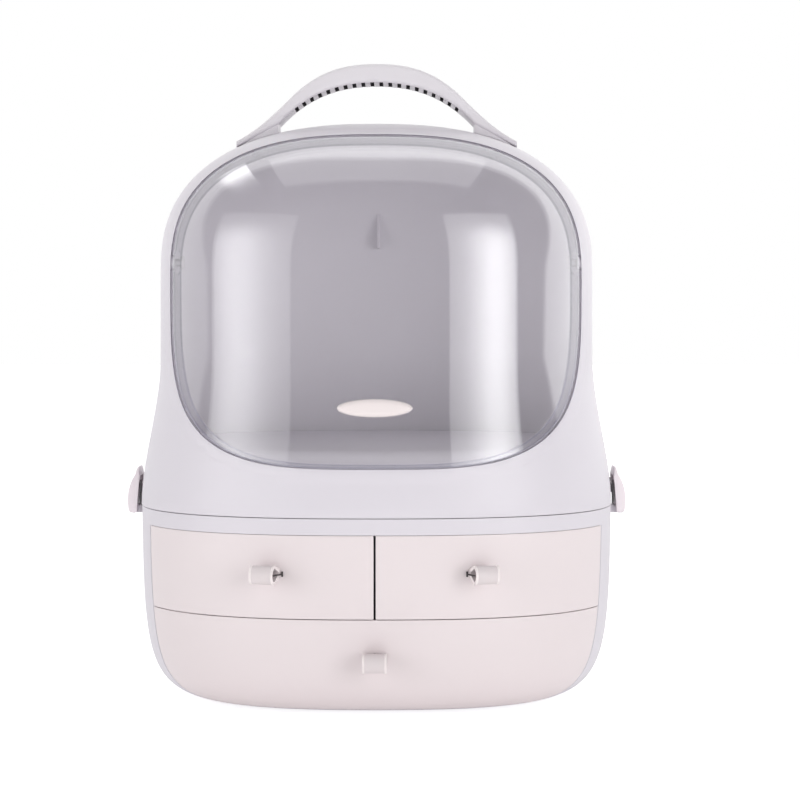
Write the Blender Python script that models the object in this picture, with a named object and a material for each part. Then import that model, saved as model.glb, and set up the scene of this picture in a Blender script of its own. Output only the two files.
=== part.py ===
# Dustproof makeup organizer: an egg-shaped case with a flip-up visor over three drawers
# Metres, +Z up, the front faces -Y, origin on the ground under the middle of the case

import math

import bmesh
import bpy
from mathutils import Matrix, Vector

# Driving sizes of the case
BASE_HALF_WIDTH = 0.139
BASE_HALF_DEPTH = 0.103
SEAM_HEIGHT = 0.1135
SHOULDER_RISE = 0.1375
CAP_RISE = 0.087
PLAN_POWER = 2.5
WALL = 0.0024
TOUCH = 0.0003
OVERRUN = 0.020

# Rounding of the base towards its underside
BASE_ROUND_INSET = 0.043
BASE_ROUND_HEIGHT = 0.00992
BASE_ROUND_POWER = 0.65
BASE_FLOOR = 0.0020
BASE_LIP = 0.0022

# Ledges and plates inside the base
LEDGE_WALL = 0.0050
RAIL_DEPTH = 0.0089
DECK_DROP = 0.0065
DECK_THICKNESS = 0.0020
ROW_SPLIT_DROP = 0.0553
SHELF_THICKNESS = 0.0018
SHELF_LEDGE = 0.0022
SHELF_SETBACK = 0.0020
PARTITION_THICKNESS = 0.0020
PARTITION_BACK_GAP = 0.0040

# Drawers
DRAWER_BULGE = 0.057
DRAWER_GAP = 0.0005
FRONT_THICKNESS = 0.0026
TRAY_SIDE_INSET = 0.0060
TRAY_SIDE_GAP = 0.0008
TRAY_WALL = 0.0018
TRAY_RIM_DROP = 0.0045
TRAY_BACK_SHARE = 0.84

# Drawer pulls
PULL_OFFSET = 0.0580
UPPER_PULL_RISE = 0.0261
LOWER_PULL_DROP = 0.0201
PULL_HALF_WIDTH = 0.0066
PULL_RADIUS = 0.0050
PULL_REACH = 0.0180
PULL_ROOT = 0.0018
PULL_ROOT_DEPTH = 0.0028
STRAP_THICKNESS = 0.0014
SCREW_RADIUS = 0.0010
SCREW_PLAY = 0.0003
SCREW_HEAD_RADIUS = 0.0030
SCREW_HEAD = 0.0014
SCREW_NUT_RADIUS = 0.0017
SCREW_NUT = 0.0012
SCREW_SEAT = 0.0006
WASHER_RADIUS = 0.0020
WASHER_THICKNESS = 0.0008

# Hood
HOOD_FLARE = 0.011
FLARE_RISE = 0.0865
FLARE_DROP = 0.0015
CAP_POWER = 2.42
RIB_HALF_THICKNESS = 0.0009
RIB_REACH = 0.016
RIB_TOP_REACH = 0.004
RIB_RISE = 0.0155
RIB_LENGTH = 0.0255

# Visor opening, seen from the front
OPENING_SIDE_MARGIN = 0.0098
OPENING_TOP_MARGIN = 0.0096
OPENING_SILL = 0.0269
OPENING_MIDDLE_DROP = 0.006
OPENING_TOP_POWER = 2.67
OPENING_BOTTOM_POWER = 3.7
OPENING_CUT_BACK = 0.010

# Visor and its pivots
VISOR_GAP = 0.0013
VISOR_THICKNESS = 0.0020
BORDER_THICKNESS = 0.0042
BORDER_WIDTH = 0.0052
BORDER_WIDTH_BELOW = 0.0018
PIVOT_SETBACK = 0.00439
PIVOT_RISE = 0.004
PIVOT_BOSS_RADIUS = 0.0045
PIVOT_BOSS_REACH = 0.0024
EAR_THICKNESS = 0.0028
EAR_RADIUS = 0.0070
EAR_PLAY = 0.0004
NOTCH_PLAY = 0.0008
PIN_RADIUS = 0.0020
PIN_HEAD_RADIUS = 0.0040
PIN_HEAD = 0.0018
PIN_DEPTH = 0.0021
TAB_HALF_WIDTH = 0.0208
TAB_HALF_HEIGHT = 0.0050
TAB_REACH = 0.0060
TAB_ROUND = 0.0028
TAB_RISE = 0.0336

# Compartment floor
FLOOR_RISE = 0.0365
FLOOR_THICKNESS = 0.0020
FLOOR_EDGE_GAP = 0.0013
FLOOR_ROUND = 0.0080
SKIRT_GAP = 0.0008
SKIRT_STEP_DROP = 0.0018
SPIGOT_DEPTH = 0.0032

# Carry handle
HANDLE_CLIMB = 0.0354
HANDLE_GRIP = 0.0113
HANDLE_HALF_DEPTH = 0.0130
HANDLE_SHOULDER = 0.0355
HANDLE_ELBOW_DROP = 0.0167
HANDLE_SIDE_MARGIN = 0.0450
HANDLE_TIP_RISE = 0.00371
HANDLE_TIP = 0.0035
HANDLE_FOOT_LENGTH = 0.0250
HANDLE_ARCH_DROP = 0.0005
HANDLE_ROUND = 0.0026
GUSSET_SETBACK = 0.0015
GUSSET_SINK = 0.0150
POCKET_END_WALL = 0.0030
POCKET_PITCH = 0.00535
POCKET_HALF_WIDTH = 0.0016
POCKET_DEPTH = 0.0042
POCKET_SIDE_WALL = 0.0034
HANDLE_SCREW_MARGIN = 0.0130
HANDLE_SCREW_RADIUS = 0.0016
HANDLE_SCREW_HEAD_RADIUS = 0.0032
HANDLE_SCREW_HEAD = 0.0022
HANDLE_SCREW_BITE = 0.0050
HANDLE_BOSS_RADIUS = 0.0045
HANDLE_BOSS_DROP = 0.0080

# Side latches
LATCH_GAP = 0.0032
LATCH_THICKNESS = 0.0058
LATCH_DROP = 0.0066
LATCH_RISE = 0.0208
LATCH_TIP = 0.0012
LATCH_HALF_WIDTH = 0.0125
LATCH_OUTLINE_POWER = 4.0
LATCH_EYE = 0.0024
KNUCKLE_RADIUS = 0.0021
KNUCKLE_HALF_WIDTH = 0.0061
KNUCKLE_PLAY = 0.0004
SLOT_RISE = 0.0035
LATCH_PIN_RADIUS = 0.0010
LATCH_PIN_HALF_LENGTH = 0.0092
HOOK_RISE = 0.0091
HOOK_THICKNESS = 0.0020
HOOK_REACH = 0.0026
HOOK_CLEARANCE = 0.0008
HOOK_HALF_WIDTH = 0.0060
KEEPER_THICKNESS = 0.0025
KEEPER_REACH = 0.0022

# Rubber feet
FOOT_REACH = 0.0012
FOOT_RADIUS = 0.0070
FOOT_RECESS = 0.0008
FOOT_PLAY = 0.0004
FOOT_SIDE_MARGIN = 0.073
FOOT_END_MARGIN = 0.069

# Fineness of the meshes
RING_COUNT = 40
OUTLINE_COUNT = 56
ROUND_COUNT = 12
ARC_STEPS = 16
CORNER_STEPS = 3
CAP_ANGLES = (14, 27, 39, 50, 60, 69, 78, 85)
FLARE_SHARES = (1.0, 0.82, 0.66, 0.52, 0.40, 0.28, 0.17, 0.07, 0.0)
BASE_RISE_SHARES = (0.0, 0.004, 0.013, 0.028, 0.052, 0.09, 0.15, 0.25, 0.42, 0.68, 1.0)
INNER_RISE_SHARES = (0.0, 0.015, 0.05, 0.12, 0.25, 0.55, 1.0)
LOW_FRONT_SHARES = (0.0, 0.02, 0.055, 0.12, 0.23, 0.42, 0.68, 1.0)
HIGH_FRONT_SHARES = (0.0, 0.4, 1.0)

# Places that follow from the sizes above
INNER_FLOOR = FOOT_REACH + BASE_FLOOR
LIP_TOP = FOOT_REACH + BASE_LIP
RAIL_BOTTOM = SEAM_HEIGHT - RAIL_DEPTH
DECK_SEAT = SEAM_HEIGHT - DECK_DROP
FRONT_PLANE = BASE_HALF_DEPTH - DRAWER_BULGE
ROW_SPLIT_HEIGHT = SEAM_HEIGHT - ROW_SPLIT_DROP
SHELF_BOTTOM = ROW_SPLIT_HEIGHT - SHELF_THICKNESS / 2
SHELF_TOP = SHELF_BOTTOM + SHELF_THICKNESS
UPPER_PULL_HEIGHT = ROW_SPLIT_HEIGHT + UPPER_PULL_RISE
LOWER_PULL_HEIGHT = ROW_SPLIT_HEIGHT - LOWER_PULL_DROP
FOOT_OFFSET_X = BASE_HALF_WIDTH - FOOT_SIDE_MARGIN
FOOT_OFFSET_Y = BASE_HALF_DEPTH - FOOT_END_MARGIN
SHOULDER_HEIGHT = SEAM_HEIGHT + SHOULDER_RISE
BODY_HEIGHT = SHOULDER_HEIGHT + CAP_RISE
FLARE_TOP = SEAM_HEIGHT + FLARE_RISE
FLARE_FOOT = SEAM_HEIGHT - FLARE_DROP
RIB_BOTTOM = SHOULDER_HEIGHT + RIB_RISE
RIB_TOP = RIB_BOTTOM + RIB_LENGTH
HOOD_HALF_WIDTH = BASE_HALF_WIDTH - HOOD_FLARE
HOOD_HALF_DEPTH = BASE_HALF_DEPTH - HOOD_FLARE
HOOD_BOTTOM = SEAM_HEIGHT + TOUCH
OPENING_HALF_WIDTH = HOOD_HALF_WIDTH - OPENING_SIDE_MARGIN
OPENING_BOTTOM = SEAM_HEIGHT + OPENING_SILL
OPENING_MIDDLE = SHOULDER_HEIGHT - OPENING_MIDDLE_DROP
OPENING_RISE = BODY_HEIGHT - OPENING_TOP_MARGIN - OPENING_MIDDLE
OPENING_FALL = OPENING_MIDDLE - OPENING_BOTTOM
OPENING_SIDE_SHARE = (1 - (OPENING_HALF_WIDTH / HOOD_HALF_WIDTH) ** PLAN_POWER) ** (1 / PLAN_POWER)
PIVOT_BACK = HOOD_HALF_DEPTH * OPENING_SIDE_SHARE - PIVOT_SETBACK
PIVOT_HEIGHT = SHOULDER_HEIGHT + PIVOT_RISE
PIVOT_FACE = OPENING_HALF_WIDTH - PIVOT_BOSS_REACH
EAR_FACE = PIVOT_FACE - EAR_PLAY
TAB_HEIGHT = OPENING_BOTTOM + TAB_RISE
FLOOR_HEIGHT = SEAM_HEIGHT + FLOOR_RISE
HANDLE_TOP = BODY_HEIGHT + HANDLE_CLIMB
HANDLE_HALF_SPAN = HOOD_HALF_WIDTH - HANDLE_SIDE_MARGIN
HANDLE_ELBOW = HANDLE_HALF_SPAN - HANDLE_SHOULDER
HANDLE_CROWN_SHARE = (1 - (HANDLE_HALF_SPAN / HOOD_HALF_WIDTH) ** CAP_POWER) ** (1 / CAP_POWER)
HANDLE_TIP_HEIGHT = SHOULDER_HEIGHT + CAP_RISE * HANDLE_CROWN_SHARE + HANDLE_TIP_RISE
HANDLE_ARCH_HALF = HANDLE_HALF_SPAN - HANDLE_FOOT_LENGTH
HANDLE_ARCH_FOOT = BODY_HEIGHT - HANDLE_ARCH_DROP
HANDLE_SCREW_OFFSET = HANDLE_HALF_SPAN - HANDLE_SCREW_MARGIN
HANDLE_BOSS_BOTTOM = HANDLE_TIP_HEIGHT - HANDLE_BOSS_DROP
POCKET_COUNT = int((HANDLE_ARCH_HALF - POCKET_END_WALL) * 2 / POCKET_PITCH)
LATCH_INNER_X = BASE_HALF_WIDTH + LATCH_GAP
LATCH_PIVOT_X = LATCH_INNER_X + LATCH_EYE
LATCH_BOTTOM = SEAM_HEIGHT - LATCH_DROP
LATCH_TOP = SEAM_HEIGHT + LATCH_RISE
LATCH_PIVOT_Z = LATCH_BOTTOM + LATCH_EYE
HOOK_BOTTOM = SEAM_HEIGHT + HOOK_RISE


# Helpers for meshes

def remove_everything():
    """Clear the scene's objects before modelling."""
    for item in list(bpy.data.objects):
        bpy.data.objects.remove(item, do_unlink=True)


def make_material(name, colour, roughness, metallic=0.0, alpha=1.0):
    """One plain material for a kind of piece."""
    material = bpy.data.materials.new(name)
    material.use_nodes = True
    shader = material.node_tree.nodes["Principled BSDF"]
    shader.inputs["Base Color"].default_value = (*colour, 1.0)
    shader.inputs["Roughness"].default_value = roughness
    shader.inputs["Metallic"].default_value = metallic
    shader.inputs["Alpha"].default_value = alpha
    return material


def add_object(name, work, material):
    """Turn a finished bmesh into a named object with outward faces."""
    bmesh.ops.recalc_face_normals(work, faces=work.faces)
    mesh = bpy.data.meshes.new(name)
    work.to_mesh(mesh)
    work.free()
    item = bpy.data.objects.new(name, mesh)
    bpy.context.scene.collection.objects.link(item)
    if material is None:
        item.hide_render = True
        item.display_type = "WIRE"
        return item
    mesh.materials.append(material)
    mesh.shade_smooth()
    mesh.set_sharp_from_angle(angle=math.radians(35))
    return item


def combine(target, operation, *others):
    """Cut, join or intersect the target with guide objects."""
    for other in others:
        step = target.modifiers.new(operation.title(), "BOOLEAN")
        step.operation = operation
        step.solver = "EXACT"
        step.object = other


def add_loft(work, rings):
    """Closed skin through rings of equal point counts, capped at both ends."""
    rows = [[work.verts.new(point) for point in ring] for ring in rings]
    count = len(rows[0])
    for lower, upper in zip(rows, rows[1:]):
        for k in range(count):
            after = (k + 1) % count
            work.faces.new((lower[k], lower[after], upper[after], upper[k]))
    work.faces.new(rows[0])
    work.faces.new(rows[-1])


def loft(name, rings, material=None):
    """Closed solid through rings; without a material it is a guide."""
    work = bmesh.new()
    add_loft(work, rings)
    return add_object(name, work, material)


def prism_along_y(name, outline, front, back, material=None):
    """Outline of (x, z) points run from one y to another."""
    return loft(name, [[(x, y, z) for x, z in outline] for y in (front, back)], material)


def prism_along_x(name, outline, start, end, material=None):
    """Outline of (y, z) points run from one x to another."""
    return loft(name, [[(x, y, z) for y, z in outline] for x in (start, end)], material)


def box(name, low, high, material=None):
    """Box between two opposite corners."""
    outline = [(low[0], low[2]), (high[0], low[2]), (high[0], high[2]), (low[0], high[2])]
    return prism_along_y(name, outline, low[1], high[1], material)


def turned(name, centre, axis, profile, material=None):
    """Round piece turned about an axis through a centre, from (distance, radius) pairs."""
    turn = Vector(axis).to_track_quat("Z", "Y")
    rings = []
    for distance, radius in profile:
        ring = []
        for k in range(ROUND_COUNT):
            angle = 2 * math.pi * k / ROUND_COUNT
            local = Vector((radius * math.cos(angle), radius * math.sin(angle), distance))
            ring.append(Vector(centre) + turn @ local)
        rings.append(ring)
    return loft(name, rings, material)


def rod(name, centre, axis, radius, start, end, material=None):
    """Plain round rod from one distance to another along its axis."""
    return turned(name, centre, axis, ((start, radius), (end, radius)), material)


def signed_power(value, power):
    """Power of a number that keeps its sign."""
    return math.copysign(abs(value) ** power, value)


def bezier(first, second, third, fourth, steps):
    """Points along a cubic curve, both ends included."""
    points = []
    for k in range(steps + 1):
        t = k / steps
        s = 1 - t
        weights = (s**3, 3 * s * s * t, 3 * s * t * t, t**3)
        corners = (first, second, third, fourth)
        points.append(tuple(sum(w * c[axis] for w, c in zip(weights, corners)) for axis in (0, 1)))
    return points


def hang(name, place, items):
    """Empty on a joint's axis that carries the pieces of one moving group."""
    carrier = bpy.data.objects.new(name, None)
    carrier.location = place
    bpy.context.scene.collection.objects.link(carrier)
    for item in items:
        item.parent = carrier
        item.matrix_parent_inverse = Matrix.Translation(-Vector(place))
    return carrier


# Form of the case

def base_sizes(height, inset):
    """Half width and half depth of the base at a height over its own underside."""
    rounding = BASE_ROUND_INSET * math.exp(-((height / BASE_ROUND_HEIGHT) ** BASE_ROUND_POWER))
    return BASE_HALF_WIDTH - rounding - inset, BASE_HALF_DEPTH - rounding - inset


def hood_sizes(z, inset):
    """Half width and half depth of the hood below its cap."""
    share = min(max((FLARE_TOP - z) / (FLARE_TOP - FLARE_FOOT), 0), 1)
    flare = HOOD_FLARE * (3 * share**2 - 2 * share**3)
    return HOOD_HALF_WIDTH + flare - inset, HOOD_HALF_DEPTH + flare - inset


def cap_level(degrees, inset):
    """Sizes and height of the hood's cap at an angle up from its shoulder."""
    angle = math.radians(degrees)
    rise = (BODY_HEIGHT - inset - SHOULDER_HEIGHT) * math.sin(angle) ** (2 / CAP_POWER)
    share = math.cos(angle) ** (2 / CAP_POWER)
    return (HOOD_HALF_WIDTH - inset) * share, (HOOD_HALF_DEPTH - inset) * share, SHOULDER_HEIGHT + rise


def plan_ring(half_width, half_depth, z):
    """Level ring of the case's rounded plan."""
    ring = []
    for k in range(RING_COUNT):
        angle = 2 * math.pi * k / RING_COUNT
        x = half_width * signed_power(math.cos(angle), 2 / PLAN_POWER)
        y = half_depth * signed_power(math.sin(angle), 2 / PLAN_POWER)
        ring.append((x, y, z))
    return ring


def plan_reach(along, half_along, half_across):
    """How far the plan reaches across at a distance along its other axis."""
    share = abs(along) / half_along
    return half_across * (1 - share**PLAN_POWER) ** (1 / PLAN_POWER)


def hood_rings(inset, bottom):
    """Rings of the hood's surface from a bottom level to the top."""
    rings = []
    for share in FLARE_SHARES:
        z = FLARE_TOP - (FLARE_TOP - bottom) * share
        rings.append(plan_ring(*hood_sizes(z, inset), z))
    for z in ((FLARE_TOP + SHOULDER_HEIGHT) / 2, SHOULDER_HEIGHT):
        rings.append(plan_ring(*hood_sizes(z, inset), z))
    for degrees in CAP_ANGLES:
        rings.append(plan_ring(*cap_level(degrees, inset)))
    return rings


def hood_solid(name, inset):
    """Solid guide of the hood's form, drawn in by an inset."""
    return loft(name, hood_rings(inset, FLARE_FOOT))


def opening_outline(shrink, shrink_below):
    """Outline of the visor opening in (x, z), drawn in by a margin."""
    outline = []
    for k in range(OUTLINE_COUNT):
        angle = 2 * math.pi * k / OUTLINE_COUNT
        cosine = math.cos(angle)
        sine = math.sin(angle)
        power = OPENING_TOP_POWER if sine >= 0 else OPENING_BOTTOM_POWER
        reach = OPENING_RISE - shrink if sine >= 0 else OPENING_FALL - shrink_below
        x = (OPENING_HALF_WIDTH - shrink) * signed_power(cosine, 2 / power)
        z = OPENING_MIDDLE + reach * signed_power(sine, 2 / power)
        outline.append((x, z))
    return outline


def opening_prism(name, shrink, shrink_below, material=None):
    """Prism of the visor opening, from before the case to just before its middle."""
    front = -BASE_HALF_DEPTH - OVERRUN
    outline = opening_outline(shrink, shrink_below)
    return prism_along_y(name, outline, front, -OPENING_CUT_BACK, material)


# Lower half of the case

def foot_places():
    """Places and names of the four feet."""
    places = []
    for y, row in ((-FOOT_OFFSET_Y, "front"), (FOOT_OFFSET_Y, "back")):
        for x, side in ((-FOOT_OFFSET_X, "left"), (FOOT_OFFSET_X, "right")):
            places.append((x, y, f"foot_{row}_{side}"))
    return places


def base_shell(material):
    """Lower shell: bottom, back, sides and top rail, open at the front for the drawers."""
    height = SEAM_HEIGHT - FOOT_REACH
    outer = []
    for share in BASE_RISE_SHARES:
        outer.append(plan_ring(*base_sizes(height * share, 0), FOOT_REACH + height * share))
    ledge_bottom = SHELF_BOTTOM - TOUCH - SHELF_LEDGE
    ledge_top = SHELF_BOTTOM - TOUCH
    levels = [(INNER_FLOOR + (ledge_bottom - INNER_FLOOR) * share, WALL) for share in INNER_RISE_SHARES]
    levels += [(ledge_bottom, LEDGE_WALL), (ledge_top, LEDGE_WALL), (ledge_top, WALL)]
    levels += [(RAIL_BOTTOM + TOUCH, WALL), (RAIL_BOTTOM + TOUCH, LEDGE_WALL)]
    levels += [(DECK_SEAT, LEDGE_WALL), (DECK_SEAT, WALL), (SEAM_HEIGHT, WALL)]
    inner = [plan_ring(*base_sizes(z - INNER_FLOOR, inset), z) for z, inset in levels]
    shell = loft("base_shell", inner + outer[::-1], material)
    front_cut = box(
        "drawer_opening_cut",
        (-BASE_HALF_WIDTH - OVERRUN, -BASE_HALF_DEPTH - OVERRUN, LIP_TOP),
        (BASE_HALF_WIDTH + OVERRUN, -FRONT_PLANE, RAIL_BOTTOM),
    )
    combine(shell, "DIFFERENCE", front_cut)
    for x, y, name in foot_places():
        recess = rod(
            f"{name}_recess", (x, y, FOOT_REACH), (0, 0, 1),
            FOOT_RADIUS + FOOT_PLAY, -OVERRUN, FOOT_RECESS,
        )
        combine(shell, "DIFFERENCE", recess)
    for side in (-1, 1):
        pivot = (side * LATCH_PIVOT_X, 0, LATCH_PIVOT_Z)
        block = box(
            f"knuckle_block_{side}",
            (side * (BASE_HALF_WIDTH - WALL / 2), -KNUCKLE_HALF_WIDTH, LATCH_PIVOT_Z - KNUCKLE_RADIUS),
            (side * (LATCH_PIVOT_X - TOUCH), KNUCKLE_HALF_WIDTH, LATCH_PIVOT_Z + KNUCKLE_RADIUS),
        )
        eye = rod(
            f"knuckle_eye_{side}", pivot, (0, 1, 0),
            KNUCKLE_RADIUS, -KNUCKLE_HALF_WIDTH, KNUCKLE_HALF_WIDTH,
        )
        bore = rod(
            f"knuckle_bore_{side}", pivot, (0, 1, 0),
            LATCH_PIN_RADIUS + TOUCH, -LATCH_HALF_WIDTH, LATCH_HALF_WIDTH,
        )
        combine(shell, "UNION", block, eye)
        combine(shell, "DIFFERENCE", bore)
    return shell


def base_deck(material):
    """Plate over the upper drawers that lies on the top ledge."""
    rings = []
    for z in (DECK_SEAT + TOUCH, DECK_SEAT + TOUCH + DECK_THICKNESS):
        rings.append(plan_ring(*base_sizes(z - INNER_FLOOR, WALL + TOUCH), z))
    return loft("base_deck", rings, material)


def drawer_shelf(material):
    """Plate between the rows of drawers, cut straight behind the drawer fronts."""
    rings = []
    for z in (SHELF_BOTTOM, SHELF_TOP):
        rings.append(plan_ring(*base_sizes(z - INNER_FLOOR, WALL + TOUCH), z))
    shelf = loft("drawer_shelf", rings, material)
    front_cut = box(
        "shelf_front_cut",
        (-BASE_HALF_WIDTH - OVERRUN, -BASE_HALF_DEPTH - OVERRUN, SHELF_BOTTOM - OVERRUN),
        (BASE_HALF_WIDTH + OVERRUN, -FRONT_PLANE + SHELF_SETBACK, SHELF_TOP + OVERRUN),
    )
    combine(shelf, "DIFFERENCE", front_cut)
    return shelf


def centre_partition(material):
    """Upright wall between the two upper drawers, held by the shelf and the deck."""
    return box(
        "centre_partition",
        (-PARTITION_THICKNESS / 2, -FRONT_PLANE + SHELF_SETBACK, SHELF_TOP + TOUCH),
        (PARTITION_THICKNESS / 2, BASE_HALF_DEPTH - LEDGE_WALL - PARTITION_BACK_GAP, DECK_SEAT),
        material,
    )


def feet(material):
    """Four rubber pads set in shallow recesses."""
    top = FOOT_REACH + FOOT_RECESS - TOUCH
    for x, y, name in foot_places():
        rod(name, (x, y, 0), (0, 0, 1), FOOT_RADIUS, 0, top, material)


# Drawers

def front_arc(sizes, low_x, high_x, z):
    """Points of the bulged front between two x limits, closer together at the ends."""
    points = []
    for k in range(ARC_STEPS + 1):
        share = math.sin(math.pi * (k / ARC_STEPS - 0.5))
        x = (low_x + high_x) / 2 + (high_x - low_x) / 2 * share
        points.append((x, -plan_reach(x, *sizes), z))
    return points


def drawer_front(name, bottom, top, limits, shares, material):
    """Curved front of a drawer, flush with the base around it."""
    rings = []
    for share in shares:
        z = bottom + (top - bottom) * share
        ring = []
        for inset in (0, FRONT_THICKNESS):
            half_width, half_depth = base_sizes(z - FOOT_REACH, inset)
            end = plan_reach(FRONT_PLANE + DRAWER_GAP, half_depth, half_width)
            low = -end if limits[0] is None else limits[0]
            high = end if limits[1] is None else limits[1]
            arc = front_arc((half_width, half_depth), low, high, z)
            ring += arc if inset == 0 else arc[::-1]
        rings.append(ring)
    return loft(name, rings, material)


def tray_ring(z, wall, limits):
    """Level ring of a tray: bulged front, straight sides, back corners that follow the case."""
    height = z - INNER_FLOOR
    front_sizes = base_sizes(height, FRONT_THICKNESS + TOUCH + wall)
    half_width, half_depth = base_sizes(height, TRAY_SIDE_INSET + wall)
    side = plan_reach(FRONT_PLANE, half_depth, half_width)
    low = -side if limits[0] is None else limits[0] + wall
    high = side if limits[1] is None else limits[1] - wall
    ring = front_arc(front_sizes, low, high, z)
    back = half_depth * TRAY_BACK_SHARE
    corner = []
    for k in range(CORNER_STEPS + 1):
        y = FRONT_PLANE + (back - FRONT_PLANE) * k / CORNER_STEPS
        corner.append((plan_reach(y, half_depth, half_width), y))
    ring += [(min(x, high), y, z) for x, y in corner]
    ring += [(max(-x, low), y, z) for x, y in reversed(corner)]
    return ring


def drawer_tray(name, bottom, top, limits, shares, material):
    """Open-topped tray behind a drawer front."""
    outer = [tray_ring(bottom + (top - bottom) * share, 0, limits) for share in shares]
    floor = bottom + TRAY_WALL
    inner = [tray_ring(floor + (top - floor) * share, TRAY_WALL, limits) for share in shares]
    return loft(name, outer + inner[::-1], material)


def front_frame(x, z):
    """Point on the drawer fronts with its outward, sideways and upward directions."""
    half_width, half_depth = base_sizes(z - FOOT_REACH, 0)
    y = -plan_reach(x, half_width, half_depth)
    growth = (base_sizes(z - FOOT_REACH + TOUCH, 0)[0] - half_width) / TOUCH
    share_x = abs(x) / half_width
    share_y = abs(y) / half_depth
    slope_x = math.copysign(share_x ** (PLAN_POWER - 1), x) / half_width
    slope_y = -(share_y ** (PLAN_POWER - 1)) / half_depth
    slope_z = -growth * (share_x**PLAN_POWER / half_width + share_y**PLAN_POWER / half_depth)
    outward = Vector((slope_x, slope_y, slope_z)).normalized()
    sideways = Vector((0, 0, 1)).cross(outward).normalized()
    return Vector((x, y, z)), outward, sideways, outward.cross(sideways)


def teardrop(radius, reach, root, root_half):
    """Outline in (outwards, up): round at the front, drawn to a narrow root."""
    centre = reach - radius
    first = math.pi / 2 + math.atan2(radius - root_half, centre - root)
    outline = [(root, root_half)]
    for k in range(ROUND_COUNT + 1):
        angle = first - 2 * first * k / ROUND_COUNT
        outline.append((centre + radius * math.cos(angle), radius * math.sin(angle)))
    outline.append((root, -root_half))
    return outline


def drawer_pull(suffix, x, z, front, tray, materials):
    """Strap loop held square to the drawer front by a screw and a washer."""
    seat, outward, sideways, upward = front_frame(x, z)

    def loop_solid(name, outline, half, material=None):
        rings = []
        for along in (-half, half):
            rings.append([seat + outward * out + sideways * along + upward * up for out, up in outline])
        return loft(name, rings, material)

    root = WASHER_THICKNESS + 2 * TOUCH
    outside = teardrop(PULL_RADIUS, PULL_REACH, root, PULL_ROOT)
    inside = teardrop(
        PULL_RADIUS - STRAP_THICKNESS, PULL_REACH - STRAP_THICKNESS,
        root + PULL_ROOT_DEPTH, PULL_ROOT - STRAP_THICKNESS,
    )
    loop = loop_solid(f"pull_loop_{suffix}", outside, PULL_HALF_WIDTH, materials["warm"])
    combine(loop, "DIFFERENCE", loop_solid(f"pull_hollow_{suffix}", inside, PULL_HALF_WIDTH + OVERRUN))
    washer = rod(
        f"pull_washer_{suffix}", seat, outward, WASHER_RADIUS,
        TOUCH, TOUCH + WASHER_THICKNESS, materials["steel"],
    )
    inner_face = FRONT_THICKNESS + TOUCH + TRAY_WALL + SCREW_SEAT
    bore = rod(
        f"pull_bore_{suffix}", seat, outward, SCREW_RADIUS + SCREW_PLAY,
        -inner_face - SCREW_HEAD, root + PULL_ROOT_DEPTH + PULL_RADIUS,
    )
    for item in (loop, washer, front, tray):
        combine(item, "DIFFERENCE", bore)
    hollow_radius = PULL_RADIUS - STRAP_THICKNESS
    nut_end = PULL_REACH - PULL_RADIUS + math.sqrt(hollow_radius**2 - SCREW_NUT_RADIUS**2) - TOUCH
    screw = turned(
        f"pull_screw_{suffix}", seat, outward,
        (
            (-inner_face - SCREW_HEAD, SCREW_HEAD_RADIUS), (-inner_face, SCREW_HEAD_RADIUS),
            (-inner_face, SCREW_RADIUS), (nut_end - SCREW_NUT, SCREW_RADIUS),
            (nut_end - SCREW_NUT, SCREW_NUT_RADIUS), (nut_end, SCREW_NUT_RADIUS),
        ),
        materials["steel"],
    )
    return [loop, washer, screw]


def drawers(materials):
    """Two upper drawers side by side over one wide drawer."""
    upper_bottom = ROW_SPLIT_HEIGHT + DRAWER_GAP
    upper_top = RAIL_BOTTOM - DRAWER_GAP
    lower_bottom = LIP_TOP + DRAWER_GAP
    lower_top = ROW_SPLIT_HEIGHT - DRAWER_GAP
    side = PARTITION_THICKNESS / 2 + TRAY_SIDE_GAP
    rows = (
        ("upper_left", (None, -DRAWER_GAP), (None, -side), -PULL_OFFSET, True),
        ("upper_right", (DRAWER_GAP, None), (side, None), PULL_OFFSET, True),
        ("lower", (None, None), (None, None), 0, False),
    )
    for suffix, front_limits, tray_limits, pull_x, is_upper in rows:
        bottom = upper_bottom if is_upper else lower_bottom
        top = upper_top if is_upper else lower_top
        shares = HIGH_FRONT_SHARES if is_upper else LOW_FRONT_SHARES
        tray_bottom = SHELF_TOP + TOUCH if is_upper else LIP_TOP + TOUCH
        front = drawer_front(f"drawer_front_{suffix}", bottom, top, front_limits, shares, materials["warm"])
        tray = drawer_tray(
            f"drawer_tray_{suffix}", tray_bottom, top - TRAY_RIM_DROP, tray_limits, shares, materials["warm"],
        )
        pull_height = UPPER_PULL_HEIGHT if is_upper else LOWER_PULL_HEIGHT
        pieces = drawer_pull(suffix, pull_x, pull_height, front, tray, materials)
        hang(f"slide_{suffix}", (pull_x, -FRONT_PLANE, pull_height), [front, tray] + pieces)


# Upper half of the case

def handle_bore(name, side, top):
    """Guide for the screw hole of a handle foot."""
    centre = (side * HANDLE_SCREW_OFFSET, 0, HANDLE_BOSS_BOTTOM)
    return rod(name, centre, (0, 0, 1), HANDLE_SCREW_RADIUS + TOUCH, -OVERRUN, top - HANDLE_BOSS_BOTTOM)


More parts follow.
